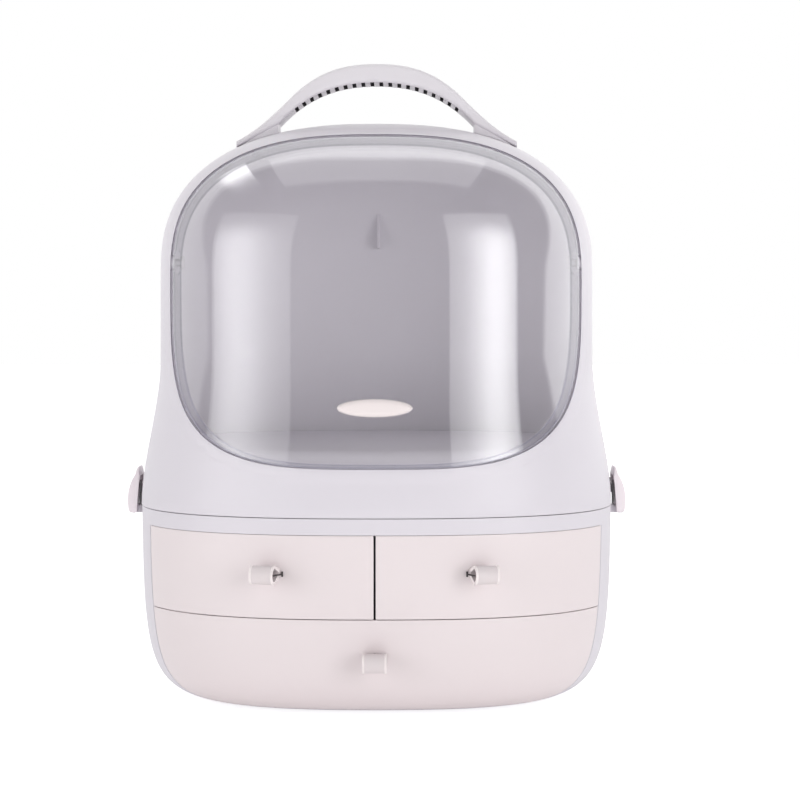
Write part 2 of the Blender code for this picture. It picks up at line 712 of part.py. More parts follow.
def hood_shell(material):
    """Upper shell with the visor opening, pivot and handle bosses, keepers and back rib."""
    inner = hood_rings(WALL, HOOD_BOTTOM)
    shell = loft("hood_shell", inner[::-1] + hood_rings(0, HOOD_BOTTOM), material)
    combine(shell, "DIFFERENCE", opening_prism("visor_opening_cut", 0, 0))
    form = hood_solid("boss_form", TOUCH)
    for side in (-1, 1):
        pivot = (side * PIVOT_FACE, -PIVOT_BACK, PIVOT_HEIGHT)
        boss = rod(f"pivot_boss_{side}", pivot, (side, 0, 0), PIVOT_BOSS_RADIUS, 0, OVERRUN)
        combine(boss, "INTERSECT", form)
        bore = rod(
            f"pivot_bore_{side}", pivot, (side, 0, 0),
            PIN_RADIUS + TOUCH, -OVERRUN, PIN_DEPTH + TOUCH,
        )
        foot = (side * HANDLE_SCREW_OFFSET, 0, HANDLE_BOSS_BOTTOM)
        screw_boss = rod(f"handle_boss_{side}", foot, (0, 0, 1), HANDLE_BOSS_RADIUS, 0, OVERRUN)
        combine(screw_boss, "INTERSECT", form)
        keeper_top = HOOK_BOTTOM - HOOK_CLEARANCE
        surface = hood_sizes(keeper_top, 0)[0]
        keeper = box(
            f"latch_keeper_{side}",
            (side * (surface - WALL / 2), -HOOK_HALF_WIDTH, keeper_top - KEEPER_THICKNESS),
            (side * (surface + KEEPER_REACH), HOOK_HALF_WIDTH, keeper_top),
        )
        combine(shell, "UNION", boss, screw_boss, keeper)
        combine(shell, "DIFFERENCE", bore)
        combine(shell, "DIFFERENCE", handle_bore(f"handle_hole_{side}", side, BODY_HEIGHT + OVERRUN))
    back = HOOD_HALF_DEPTH
    rib_form = hood_solid("rib_form", TOUCH)
    rib = prism_along_x(
        "back_rib",
        [
            (back, RIB_BOTTOM), (back - WALL - RIB_REACH, RIB_BOTTOM),
            (back - WALL - RIB_TOP_REACH, RIB_TOP), (back, RIB_TOP),
        ],
        -RIB_HALF_THICKNESS, RIB_HALF_THICKNESS,
    )
    combine(rib, "INTERSECT", rib_form)
    combine(shell, "UNION", rib)
    return shell


def compartment_floor(material):
    """Raised floor of the compartment, with a skirt that locates the hood in the base rim."""
    spigot = SEAM_HEIGHT - SPIGOT_DEPTH
    step = OPENING_MIDDLE - OPENING_FALL - SKIRT_STEP_DROP
    skirt = WALL + SKIRT_GAP
    edge = BORDER_THICKNESS + FLOOR_EDGE_GAP
    rings = []
    for inset, drop in ((0, 0), (FLOOR_THICKNESS, FLOOR_THICKNESS)):
        radius = FLOOR_ROUND - drop
        levels = []
        for share in (0.0, 0.35, 0.65, 1.0):
            levels.append((spigot + (step - drop - spigot) * share, skirt + inset))
        levels.append((step - drop, edge + inset))
        for degrees in (0, 30, 60, 90):
            angle = math.radians(degrees)
            z = FLOOR_HEIGHT - FLOOR_ROUND + radius * math.sin(angle)
            levels.append((z, edge + inset + radius * (1 - math.cos(angle))))
        surface = [plan_ring(*hood_sizes(z, level), z) for z, level in levels]
        rings += surface[::-1] if inset == 0 else surface
    return loft("compartment_floor", rings, material)


def handle_rings():
    """Rounded sections of the arched strap, from one foot to the other."""
    elbow = (HANDLE_ELBOW, HANDLE_TOP - HANDLE_ELBOW_DROP)
    tip = (HANDLE_HALF_SPAN, HANDLE_TIP_HEIGHT)
    over_run = HANDLE_HALF_SPAN - HANDLE_ELBOW
    over_drop = elbow[1] - HANDLE_TIP_HEIGHT
    outer = bezier(
        (0, HANDLE_TOP), (HANDLE_ELBOW * 0.46, HANDLE_TOP),
        (HANDLE_ELBOW * 0.72, HANDLE_TOP - HANDLE_ELBOW_DROP * 0.32), elbow, 6,
    )
    outer += bezier(
        elbow, (HANDLE_ELBOW + over_run * 0.28, elbow[1] - over_drop * 0.33),
        (HANDLE_ELBOW + over_run * 0.58, elbow[1] - over_drop * 0.73), tip, 6,
    )[1:]
    under_top = HANDLE_TOP - HANDLE_GRIP
    arch_drop = under_top - HANDLE_ARCH_FOOT
    arch_foot = (HANDLE_ARCH_HALF, HANDLE_ARCH_FOOT)
    inner = bezier(
        (0, under_top), (HANDLE_ARCH_HALF * 0.41, under_top),
        (HANDLE_ARCH_HALF * 0.72, under_top - arch_drop * 0.29), arch_foot, 8,
    )
    for k in range(1, 5):
        x = HANDLE_ARCH_HALF + (HANDLE_HALF_SPAN - HANDLE_ARCH_HALF) * k / 4
        z = HANDLE_ARCH_FOOT + (HANDLE_TIP_HEIGHT - HANDLE_TIP - HANDLE_ARCH_FOOT) * k / 4
        inner.append((x, z))
    right = list(zip(outer, inner))
    left = [((-a[0], a[1]), (-b[0], b[1])) for a, b in right[:0:-1]]
    return left + right


def handle_section(above, below):
    """Rounded rectangle between an outer and an inner point of the arch."""
    span = math.dist(above, below)
    along = ((below[0] - above[0]) / span, (below[1] - above[1]) / span)
    radius = min(HANDLE_ROUND, span * 0.45)
    ring = []
    corners = (
        (HANDLE_HALF_DEPTH - radius, radius, -90), (HANDLE_HALF_DEPTH - radius, span - radius, 0),
        (radius - HANDLE_HALF_DEPTH, span - radius, 90), (radius - HANDLE_HALF_DEPTH, radius, 180),
    )
    for y, depth, start in corners:
        for turn in (0, 30, 60, 90):
            angle = math.radians(start + turn)
            down = depth + radius * math.sin(angle)
            ring.append((above[0] + along[0] * down, y + radius * math.cos(angle), above[1] + along[1] * down))
    return ring


def carry_handle(material):
    """Arched handle with gussets at the feet and a row of pockets under the grip."""
    pairs = handle_rings()
    handle = loft("carry_handle", [handle_section(above, below) for above, below in pairs], material)
    gusset_half = HANDLE_HALF_DEPTH - GUSSET_SETBACK
    tip_low = HANDLE_TIP_HEIGHT - HANDLE_TIP
    for side in (-1, 1):
        gusset = prism_along_y(
            f"handle_gusset_{side}",
            [
                (side * HANDLE_ARCH_HALF, HANDLE_ARCH_FOOT + GUSSET_SETBACK),
                (side * (HANDLE_HALF_SPAN - HANDLE_TIP), tip_low + GUSSET_SETBACK),
                (side * (HANDLE_HALF_SPAN - HANDLE_TIP), tip_low - GUSSET_SINK),
                (side * HANDLE_ARCH_HALF, tip_low - GUSSET_SINK),
            ],
            -gusset_half, gusset_half,
        )
        combine(handle, "UNION", gusset)
    combine(handle, "DIFFERENCE", hood_solid("handle_seat_cut", -TOUCH))
    arch = [below for _above, below in pairs]
    work = bmesh.new()
    for k in range(POCKET_COUNT):
        add_pocket(work, arch, (k - (POCKET_COUNT - 1) / 2) * POCKET_PITCH)
    combine(handle, "DIFFERENCE", add_object("grip_pockets", work, None))
    for side in (-1, 1):
        top = HANDLE_TIP_HEIGHT + HANDLE_SCREW_BITE + TOUCH
        combine(handle, "DIFFERENCE", handle_bore(f"handle_foot_hole_{side}", side, top))
    return handle


def add_pocket(work, arch, distance):
    """Add one pocket's cutting block, square to the arch at a distance from its middle."""
    middle = len(arch) // 2
    step = 1 if distance > 0 else -1
    left = abs(distance)
    k = middle
    while left > math.dist(arch[k], arch[k + step]):
        left -= math.dist(arch[k], arch[k + step])
        k += step
    span = math.dist(arch[k], arch[k + step])
    run = ((arch[k + step][0] - arch[k][0]) / span, (arch[k + step][1] - arch[k][1]) / span)
    centre = (arch[k][0] + run[0] * left, arch[k][1] + run[1] * left)
    up = (-run[1] * step, run[0] * step)
    half_depth = HANDLE_HALF_DEPTH - POCKET_SIDE_WALL
    rings = []
    for rise in (-POCKET_DEPTH, POCKET_DEPTH):
        ring = []
        for along, y in ((-1, -1), (1, -1), (1, 1), (-1, 1)):
            shift = along * POCKET_HALF_WIDTH
            x = centre[0] + run[0] * shift + up[0] * rise
            z = centre[1] + run[1] * shift + up[1] * rise
            ring.append((x, y * half_depth, z))
        rings.append(ring)
    add_loft(work, rings)


def handle_screws(material):
    """Screws that hold the handle from inside the hood."""
    head_top = -TOUCH
    for side, name in ((-1, "handle_screw_left"), (1, "handle_screw_right")):
        turned(
            name, (side * HANDLE_SCREW_OFFSET, 0, HANDLE_BOSS_BOTTOM), (0, 0, 1),
            (
                (head_top - HANDLE_SCREW_HEAD, HANDLE_SCREW_HEAD_RADIUS), (head_top, HANDLE_SCREW_HEAD_RADIUS),
                (head_top, HANDLE_SCREW_RADIUS), (HANDLE_BOSS_DROP + HANDLE_SCREW_BITE, HANDLE_SCREW_RADIUS),
            ),
            material,
        )


def visor_pins(material):
    """Headed pins through the visor's ears into the hood."""
    for side, name in ((-1, "visor_pin_left"), (1, "visor_pin_right")):
        head = -EAR_PLAY - EAR_THICKNESS - TOUCH
        turned(
            name, (side * PIVOT_FACE, -PIVOT_BACK, PIVOT_HEIGHT), (side, 0, 0),
            (
                (head - PIN_HEAD, PIN_HEAD_RADIUS), (head, PIN_HEAD_RADIUS),
                (head, PIN_RADIUS), (PIN_DEPTH, PIN_RADIUS),
            ),
            material,
        )


# Visor

def visor_shell(material):
    """Clear shell with a thick border and two pivot ears, flush with the hood."""
    shell = opening_prism("visor_shell", VISOR_GAP, VISOR_GAP, material)
    combine(shell, "INTERSECT", hood_solid("visor_outside", 0))
    combine(shell, "DIFFERENCE", hood_solid("visor_border_inside", BORDER_THICKNESS))
    core = opening_prism("visor_core", VISOR_GAP + BORDER_WIDTH, VISOR_GAP + BORDER_WIDTH_BELOW)
    combine(core, "INTERSECT", hood_solid("visor_inside", VISOR_THICKNESS))
    combine(shell, "DIFFERENCE", core)
    for side in (-1, 1):
        pivot = (side * EAR_FACE, -PIVOT_BACK, PIVOT_HEIGHT)
        ear = rod(f"visor_ear_{side}", pivot, (side, 0, 0), EAR_RADIUS, -EAR_THICKNESS, TOUCH)
        notch = rod(
            f"visor_notch_{side}", pivot, (side, 0, 0),
            PIVOT_BOSS_RADIUS + NOTCH_PLAY, 0, OVERRUN,
        )
        bore = rod(
            f"visor_bore_{side}", pivot, (side, 0, 0),
            PIN_RADIUS + EAR_PLAY, -OVERRUN, OVERRUN,
        )
        combine(shell, "UNION", ear)
        combine(shell, "DIFFERENCE", notch, bore)
    return shell


def visor_tab(material):
    """Oval pull tab on the front of the visor."""
    face = hood_sizes(TAB_HEIGHT, 0)[1]
    rings = []
    for out, share in ((TAB_REACH, 0.72), (TAB_REACH - TAB_ROUND * 0.3, 0.9),
                       (TAB_REACH - TAB_ROUND, 1.0), (-TAB_REACH, 1.0)):
        ring = []
        for k in range(2 * ROUND_COUNT):
            angle = math.pi * k / ROUND_COUNT
            x = (TAB_HALF_WIDTH - TAB_HALF_HEIGHT * (1 - share)) * math.cos(angle)
            z = TAB_HEIGHT + TAB_HALF_HEIGHT * share * math.sin(angle)
            ring.append((x, -face - out, z))
        rings.append(ring)
    tab = loft("visor_tab", rings, material)
    combine(tab, "DIFFERENCE", hood_solid("tab_seat_cut", -TOUCH))
    return tab


# Side latches

def latch_profile():
    """Side view of a latch plate in (outwards, up): an eye below and a lens above."""
    profile = []
    for k in range(9):
        angle = math.pi + math.pi * k / 8
        x = LATCH_PIVOT_X + LATCH_EYE * math.cos(angle)
        profile.append((x, LATCH_PIVOT_Z + LATCH_EYE * math.sin(angle)))
    rise = LATCH_TOP - LATCH_PIVOT_Z
    outer = LATCH_INNER_X + LATCH_THICKNESS
    profile += bezier(
        (LATCH_PIVOT_X + LATCH_EYE, LATCH_PIVOT_Z),
        (outer + LATCH_TIP / 2, LATCH_PIVOT_Z + rise * 0.25),
        (outer + LATCH_TIP, LATCH_PIVOT_Z + rise * 0.68),
        (LATCH_INNER_X + 2 * LATCH_TIP, LATCH_TOP), 10,
    )[1:]
    profile.append((LATCH_INNER_X + LATCH_TIP, LATCH_TOP))
    profile.append((LATCH_INNER_X, LATCH_TOP - LATCH_TIP))
    return profile


def side_latch(name, side, materials):
    """Oval snap plate with a hook, hinged on the base's knuckle by a pin."""
    profile = [(side * x, z) for x, z in latch_profile()]
    plate = prism_along_y(f"latch_plate_{name}", profile, -LATCH_HALF_WIDTH, LATCH_HALF_WIDTH, materials["shell"])
    middle = (LATCH_TOP + LATCH_BOTTOM) / 2
    oval = []
    for k in range(2 * ROUND_COUNT):
        angle = math.pi * k / ROUND_COUNT
        y = LATCH_HALF_WIDTH * signed_power(math.cos(angle), 2 / LATCH_OUTLINE_POWER)
        z = middle + (LATCH_TOP - middle + TOUCH) * signed_power(math.sin(angle), 2 / LATCH_OUTLINE_POWER)
        oval.append((y, z))
    outline = prism_along_x(f"latch_outline_{name}", oval, side * BASE_HALF_WIDTH, side * (LATCH_PIVOT_X + OVERRUN))
    combine(plate, "INTERSECT", outline)
    half_slot = KNUCKLE_HALF_WIDTH + KNUCKLE_PLAY
    slot = box(
        f"latch_slot_{name}",
        (side * BASE_HALF_WIDTH, -half_slot, LATCH_BOTTOM - OVERRUN),
        (side * (LATCH_PIVOT_X + OVERRUN), half_slot, LATCH_PIVOT_Z + SLOT_RISE),
    )
    hook = box(
        f"latch_hook_{name}",
        (side * (LATCH_INNER_X - HOOK_REACH), -HOOK_HALF_WIDTH, HOOK_BOTTOM),
        (side * (LATCH_INNER_X + LATCH_THICKNESS / 2), HOOK_HALF_WIDTH, HOOK_BOTTOM + HOOK_THICKNESS),
    )
    pivot = (side * LATCH_PIVOT_X, 0, LATCH_PIVOT_Z)
    bore = rod(
        f"latch_bore_{name}", pivot, (0, 1, 0),
        LATCH_PIN_RADIUS + TOUCH, -LATCH_HALF_WIDTH - OVERRUN, LATCH_HALF_WIDTH + OVERRUN,
    )
    combine(plate, "DIFFERENCE", slot)
    combine(plate, "UNION", hook)
    combine(plate, "DIFFERENCE", bore)
    pin = rod(
        f"latch_pin_{name}", pivot, (0, 1, 0),
        LATCH_PIN_RADIUS, -LATCH_PIN_HALF_LENGTH, LATCH_PIN_HALF_LENGTH, materials["steel"],
    )
    hang(f"latch_pivot_{name}", pivot, [plate, pin])


# Assembly

def build():
    """Model the whole case."""
    remove_everything()
    materials = {
        "shell": make_material("cool_white_plastic", (0.72, 0.69, 0.74), 0.42),
        "warm": make_material("warm_white_plastic", (0.83, 0.75, 0.77), 0.45),
        "inner": make_material("inner_grey_plastic", (0.60, 0.57, 0.62), 0.50),
        "clear": make_material("smoke_clear_plastic", (0.42, 0.41, 0.46), 0.08, alpha=0.35),
        "steel": make_material("dark_steel", (0.16, 0.15, 0.16), 0.35, metallic=1.0),
        "rubber": make_material("grey_rubber", (0.30, 0.30, 0.31), 0.80),
    }
    base_shell(materials["shell"])
    base_deck(materials["inner"])
    drawer_shelf(materials["inner"])
    centre_partition(materials["inner"])
    feet(materials["rubber"])
    drawers(materials)
    hood_shell(materials["shell"])
    compartment_floor(materials["inner"])
    carry_handle(materials["shell"])
    handle_screws(materials["steel"])
    visor_pins(materials["shell"])
    visor = visor_shell(materials["clear"])
    tab = visor_tab(materials["warm"])
    hang("visor_pivot", (0, -PIVOT_BACK, PIVOT_HEIGHT), [visor, tab])
    side_latch("left", -1, materials)
    side_latch("right", 1, materials)


build()
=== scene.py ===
# Dustproof makeup organizer: an egg-shaped case with a flip-up visor over three drawers
# Metres, +Z up, the front faces -Y. The sections follow the order in which the case is put together.

import math

import bmesh
import bpy
import numpy as np
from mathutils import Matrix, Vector


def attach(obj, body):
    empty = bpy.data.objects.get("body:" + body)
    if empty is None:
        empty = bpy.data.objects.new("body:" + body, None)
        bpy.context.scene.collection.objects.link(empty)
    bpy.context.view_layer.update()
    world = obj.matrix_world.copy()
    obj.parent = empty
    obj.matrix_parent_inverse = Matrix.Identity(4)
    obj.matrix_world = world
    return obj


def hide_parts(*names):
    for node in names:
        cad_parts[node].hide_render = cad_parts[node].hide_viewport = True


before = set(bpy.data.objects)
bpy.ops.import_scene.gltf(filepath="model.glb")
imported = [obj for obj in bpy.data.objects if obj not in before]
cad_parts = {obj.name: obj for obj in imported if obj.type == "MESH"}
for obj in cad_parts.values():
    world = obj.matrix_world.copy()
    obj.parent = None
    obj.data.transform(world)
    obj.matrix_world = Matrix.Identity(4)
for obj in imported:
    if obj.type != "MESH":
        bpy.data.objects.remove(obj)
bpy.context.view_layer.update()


# Base shell
# The lower half of the case, moulded in one piece from pale, cool white plastic with a fine satin grain. It is
# open at the front for the drawers, its rim carries the hood, and a latch knuckle stands out on each side.

CASE_HALF_WIDTH = 0.139
CASE_HALF_DEPTH = 0.103
PLAN_POWER = 2.5
SEAM = 0.1135
SHELL_WALL = 0.0024
FOOT_REACH = 0.0012
BASE_FLOOR = 0.0020
DRAWER_LIP = 0.0034
ROUNDING = 0.043
ROUNDING_HEIGHT = 0.00992
ROUNDING_POWER = 0.65
TOP_RAIL = 0.1046
RAIL_WALL = 0.0050
DECK_SEAT = 0.107
SHELF_UNDER = 0.0573
FRONT_PLANE = 0.0485
LATCH_PIVOT_X = 0.1446
LATCH_PIVOT_Z = 0.1093
KNUCKLE_RADIUS = 0.0021
KNUCKLE_HALF_WIDTH = 0.0061
LATCH_PIN_RADIUS = 0.0010
FIT = 0.0003
FAR = 0.02

COOL_WHITE = (0.695, 0.662, 0.712)


class Wire:
    """A socket of a node tree. Sums on it add the maths nodes."""

    def __init__(self, board, socket):
        self.board = board
        self.socket = socket

    def maths(self, operation, first, second):
        return self.board.add("ShaderNodeMath", {"operation": operation}, {0: first, 1: second})

    def __add__(self, other):
        return self.maths("ADD", self, other)

    def __radd__(self, other):
        return self.maths("ADD", other, self)

    def __sub__(self, other):
        return self.maths("SUBTRACT", self, other)

    def __rsub__(self, other):
        return self.maths("SUBTRACT", other, self)

    def __mul__(self, other):
        return self.maths("MULTIPLY", self, other)

    def __rmul__(self, other):
        return self.maths("MULTIPLY", other, self)

    def __pow__(self, other):
        return self.maths("POWER", self, other)


class Board:
    """A node tree with one way to add any node."""

    def __init__(self, tree):
        self.tree = tree

    def add(self, kind, settings=None, sockets=None, output=0):
        """Add a node: its type, its settings, then the values or links of its sockets."""
        node = self.tree.nodes.new(kind)
        for key, value in (settings or {}).items():
            setattr(node, key, value)
        for key, value in (sockets or {}).items():
            self.feed(node.inputs[key], value)
        return Wire(self, node.outputs[output])

    def feed(self, socket, value):
        """Set a socket to a value, or link it."""
        if isinstance(value, Wire):
            self.tree.links.new(value.socket, socket)
        else:
            socket.default_value = value

    def noise(self, place, scale, detail=2.0, roughness=0.5):
        """Soft random pattern from 0 to 1 at a scale in waves per metre."""
        return self.add("ShaderNodeTexNoise", {}, {
            "Vector": place, "Scale": scale, "Detail": detail, "Roughness": roughness})

    def blend(self, share, first, second):
        """Mix of two colours."""
        return self.add("ShaderNodeMix", {"data_type": "RGBA"}, {0: share, 6: first, 7: second}, output=2)


class Finish(Board):
    """A material built on one Principled shader."""

    def __init__(self, name, fixed):
        self.material = bpy.data.materials.new(name)
        self.material.use_nodes = True
        super().__init__(self.material.node_tree)
        self.shader = self.tree.nodes["Principled BSDF"]
        self.surface = self.tree.nodes["Material Output"].inputs["Surface"]
        for key, value in fixed.items():
            self.shader.inputs[key].default_value = value
        self.place = self.add("ShaderNodeTexCoord", output="Object")

    def drive(self, key, wire):
        """Let a pattern drive one of the shader's sockets."""
        self.feed(self.shader.inputs[key], wire)

    def emboss(self, height, strength=1.0):
        """Let a pattern of heights in metres tilt the surface."""
        bump = self.add("ShaderNodeBump", {}, {"Strength": strength, "Distance": 1.0, "Height": height})
        self.drive("Normal", bump)


def tinted(colour, share):
    """A colour made lighter or darker, ready for a socket."""
    return (*(min(1.0, part * share) for part in colour), 1.0)


def moulded_plastic(name, colour, roughness, grain, depth, drift=0.02, wave=0.000012):
    """Satin plastic out of an etched mould: fine grain, and a slow drift of shade and of sheen."""
    finish = Finish(name, {"IOR": 1.49})
    flow = finish.noise(finish.place, 16.0, 3.0)
    etch = finish.noise(finish.place, grain, 2.0, 0.6)
    peel = finish.noise(finish.place, 170.0, 2.0)
    shade = flow * 0.8 + etch * 0.2
    finish.drive("Base Color", finish.blend(shade, tinted(colour, 1 - drift), tinted(colour, 1 + drift)))
    finish.drive("Roughness", flow * 0.10 + etch * 0.08 + (roughness - 0.09))
    finish.emboss(etch * depth + peel * wave)
    return finish.material


def base_sizes(height, inset):
    """Half width and half depth of the base at a height over its own underside."""
    rounding = ROUNDING * math.exp(-((max(height, 0) / ROUNDING_HEIGHT) ** ROUNDING_POWER))
    return CASE_HALF_WIDTH - rounding - inset, CASE_HALF_DEPTH - rounding - inset


def signed_power(value, power):
    """Power of a number that keeps its sign."""
    return math.copysign(abs(value) ** power, value)


def plan_ring(sizes, z, count=144):
    """Level ring of the case's rounded plan."""
    ring = []
    for k in range(count):
        angle = 2 * math.pi * k / count
        x = sizes[0] * signed_power(math.cos(angle), 2 / PLAN_POWER)
        y = sizes[1] * signed_power(math.sin(angle), 2 / PLAN_POWER)
        ring.append((x, y, z))
    return ring


def plan_reach(along, half_along, half_across):
    """How far the plan reaches across at a distance along its other axis."""
    share = min(abs(along) / half_along, 1.0)
    return half_across * (1 - share**PLAN_POWER) ** (1 / PLAN_POWER)


def add_skin(work, rings):
    """Closed skin through rings of equal point counts, capped at both ends."""
    rows = [[work.verts.new(point) for point in ring] for ring in rings]
    count = len(rows[0])
    for lower, upper in zip(rows, rows[1:]):
        for k in range(count):
            after = (k + 1) % count
            work.faces.new((lower[k], lower[after], upper[after], upper[k]))
    work.faces.new(rows[0])
    work.faces.new(rows[-1])


def place_mesh(name, work, finish=None):
    """Turn a finished mesh into a named piece with outward faces; without a finish it is a cutting tool."""
    bmesh.ops.recalc_face_normals(work, faces=work.faces)
    mesh = bpy.data.meshes.new(name)
    work.to_mesh(mesh)
    work.free()
    item = bpy.data.objects.new(name, mesh)
    bpy.context.scene.collection.objects.link(item)
    if finish is None:
        item.hide_render = True
    else:
        mesh.materials.append(finish)
    return item


def skin(name, rings, finish=None):
    """One closed solid through rings."""
    work = bmesh.new()
    add_skin(work, rings)
    return place_mesh(name, work, finish)


def block_rings(low, high):
    """Two rings of a box between opposite corners."""
    corners = ((low[0], low[1]), (high[0], low[1]), (high[0], high[1]), (low[0], high[1]))
    return [[(x, y, z) for x, y in corners] for z in (low[2], high[2])]


def round_rings(centre, axis, profile, count=32):
    """Rings of a round piece about an axis through a centre, from (distance, radius) pairs."""
    turn = Vector(axis).to_track_quat("Z", "Y")
    rings = []
    for distance, radius in profile:
        ring = []
        for k in range(count):
            angle = 2 * math.pi * k / count
            local = Vector((radius * math.cos(angle), radius * math.sin(angle), distance))
            ring.append(Vector(centre) + turn @ local)
        rings.append(ring)
    return rings


def rod_rings(centre, axis, start, end, radius, count=32):
    """Rings of a plain rod or bore between two distances along an axis."""
    return round_rings(centre, axis, ((start, radius), (end, radius)), count)


def solids(name, ring_sets, finish=None):
    """Several separate closed solids in one mesh."""
    work = bmesh.new()
    for rings in ring_sets:
        add_skin(work, rings)
    return place_mesh(name, work, finish)


def carve(item, operation, tool):
    """Cut a tool out of a piece, or join it on."""
    step = item.modifiers.new(operation.title(), "BOOLEAN")
    step.operation = operation
    step.solver = "EXACT"
    step.object = tool


def settle(item, edge=0.0, angle=35, segments=2):
    """Apply what was carved, round the edges and shade the faces; the tools go."""
    tools = [step.object for step in item.modifiers if step.type == "BOOLEAN"]
    if edge:
        step = item.modifiers.new("Edges", "BEVEL")
        step.width = edge
        step.segments = segments
        step.limit_method = "ANGLE"
        step.angle_limit = math.radians(angle)
        step.use_clamp_overlap = True
    made = bpy.data.meshes.new_from_object(item.evaluated_get(bpy.context.evaluated_depsgraph_get()))
    item.modifiers.clear()
    item.data = made
    made.shade_smooth()
    made.set_sharp_from_angle(angle=math.radians(angle))
    for tool in tools:
        bpy.data.objects.remove(tool, do_unlink=True)
    return item


def fit(item, body, slot, *nodes):
    """Let a finished piece ride on its body in place of the solids that it dresses."""
    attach(item, body)
    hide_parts(*nodes)


cool_white = moulded_plastic("cool_white_plastic", COOL_WHITE, 0.40, 2300.0, 0.000006)

floor_level = FOOT_REACH + BASE_FLOOR
outer_height = SEAM - FOOT_REACH
outer_rings = []
for k in range(41):
    rise = outer_height * (k / 40) ** 2.6
    outer_rings.append(plan_ring(base_sizes(rise, 0), FOOT_REACH + rise))
ledge_top = SHELF_UNDER - 0.0003
ledge_under = ledge_top - 0.0022
inner_levels = [(floor_level + (ledge_under - floor_level) * (k / 16) ** 2.2, SHELL_WALL) for k in range(17)]
inner_levels += [(ledge_under, RAIL_WALL), (ledge_top, RAIL_WALL), (ledge_top, SHELL_WALL)]
inner_levels += [(TOP_RAIL + 0.0003, SHELL_WALL), (TOP_RAIL + 0.0003, RAIL_WALL)]
inner_levels += [(DECK_SEAT, RAIL_WALL), (DECK_SEAT, SHELL_WALL), (SEAM, SHELL_WALL)]
inner_rings = [plan_ring(base_sizes(z - floor_level, inset), z) for z, inset in inner_levels]
base = skin("base_lower_shell", inner_rings + outer_rings[::-1], cool_white)
knuckles = []
eyes = []
pin_holes = []
for side in (-1, 1):
    knuckles.append(block_rings(
        (side * (CASE_HALF_WIDTH - SHELL_WALL / 2), -KNUCKLE_HALF_WIDTH, LATCH_PIVOT_Z - KNUCKLE_RADIUS),
        (side * LATCH_PIVOT_X, KNUCKLE_HALF_WIDTH, LATCH_PIVOT_Z + KNUCKLE_RADIUS)))
    pivot = (side * LATCH_PIVOT_X, 0, LATCH_PIVOT_Z)
    eyes.append(rod_rings(pivot, (0, 1, 0), -KNUCKLE_HALF_WIDTH, KNUCKLE_HALF_WIDTH, KNUCKLE_RADIUS, 30))
    pin_holes.append(rod_rings(pivot, (0, 1, 0), -FAR, FAR, LATCH_PIN_RADIUS + FIT))
carve(base, "DIFFERENCE", skin("drawer_opening", block_rings(
    (-CASE_HALF_WIDTH - FAR, -CASE_HALF_DEPTH - FAR, DRAWER_LIP),
    (CASE_HALF_WIDTH + FAR, -FRONT_PLANE, TOP_RAIL))))
carve(base, "UNION", solids("knuckle_blocks", knuckles))
carve(base, "UNION", solids("knuckle_eyes", eyes))
carve(base, "DIFFERENCE", solids("pin_holes", pin_holes))
settle(base, 0.00035)
fit(base, "case", "shell", "base_shell")


# Plates inside the base
# A deck over the upper drawers, a shelf between the two rows and an upright partition. They are thin mouldings
# in a slightly greyer plastic that drop onto the ledges of the shell.

INNER_GREY = (0.68, 0.655, 0.70)

inner_grey = moulded_plastic("inner_grey_plastic", INNER_GREY, 0.46, 1500.0, 0.000007, 0.03)


def refined(node, name, finish, edge, angle=35):
    """A copy of a solid with its corners joined, its edges rounded and its faces smoothed."""
    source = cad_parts[node]
    work = bmesh.new()
    work.from_mesh(source.data)
    bmesh.ops.remove_doubles(work, verts=work.verts, dist=0.000002)
    bmesh.ops.dissolve_limit(work, angle_limit=math.radians(0.5), verts=work.verts, edges=work.edges)
    return settle(place_mesh(name, work, finish), edge, angle)


for node in ("base_deck", "drawer_shelf", "centre_partition"):
    fit(refined(node, "plate_" + node, inner_grey, 0.0003), "case", "inner", node)


# Feet
# Four soft rubber pads in shallow round recesses of the underside, each with a ring groove that keeps it from
# slipping.

FOOT_RADIUS = 0.0070
FOOT_TOP = 0.0017
FOOT_ACROSS = 0.066
FOOT_DEEP = 0.034

RUBBER_GREY = (0.105, 0.102, 0.105)


class Maker(Board):
    """A Geometry Nodes tree with named inputs for its sizes."""

    def __init__(self, name):
        super().__init__(bpy.data.node_groups.new(name, "GeometryNodeTree"))
        self.tree.interface.new_socket("Geometry", in_out="INPUT", socket_type="NodeSocketGeometry")
        self.tree.interface.new_socket("Geometry", in_out="OUTPUT", socket_type="NodeSocketGeometry")
        self.entry = self.tree.nodes.new("NodeGroupInput")

    def size(self, name, kind="Float"):
        """A named input of the tree."""
        self.tree.interface.new_socket(name, in_out="INPUT", socket_type="NodeSocket" + kind)
        return Wire(self, self.entry.outputs[name])

    def given(self):
        """The geometry that the tree starts from."""
        return Wire(self, self.entry.outputs["Geometry"])

    def end(self, geometry, finish):
        """Make what was repeated real and give it its finish."""
        real = self.add("GeometryNodeRealizeInstances", {}, {"Geometry": geometry})
        set_finish = self.add("GeometryNodeSetMaterial", {}, {"Geometry": real, "Material": finish})
        leave = self.tree.nodes.new("NodeGroupOutput")
        self.feed(leave.inputs["Geometry"], set_finish)


def grow(name, maker, sizes, start=None):
    """Run a tree once and keep its result as a plain mesh."""
    item = start or bpy.data.objects.new(name, bpy.data.meshes.new(name))
    item.name = name
    if start is None:
        bpy.context.scene.collection.objects.link(item)
    step = item.modifiers.new("Grow", "NODES")
    step.node_group = maker.tree
    for socket in maker.tree.interface.items_tree:
        if socket.name in sizes:
            step[socket.identifier] = sizes[socket.name]
    item.data.update()
    made = bpy.data.meshes.new_from_object(item.evaluated_get(bpy.context.evaluated_depsgraph_get()))
    item.modifiers.clear()
    item.data = made
    made.shade_smooth()
    made.set_sharp_from_angle(angle=math.radians(35))
    return item


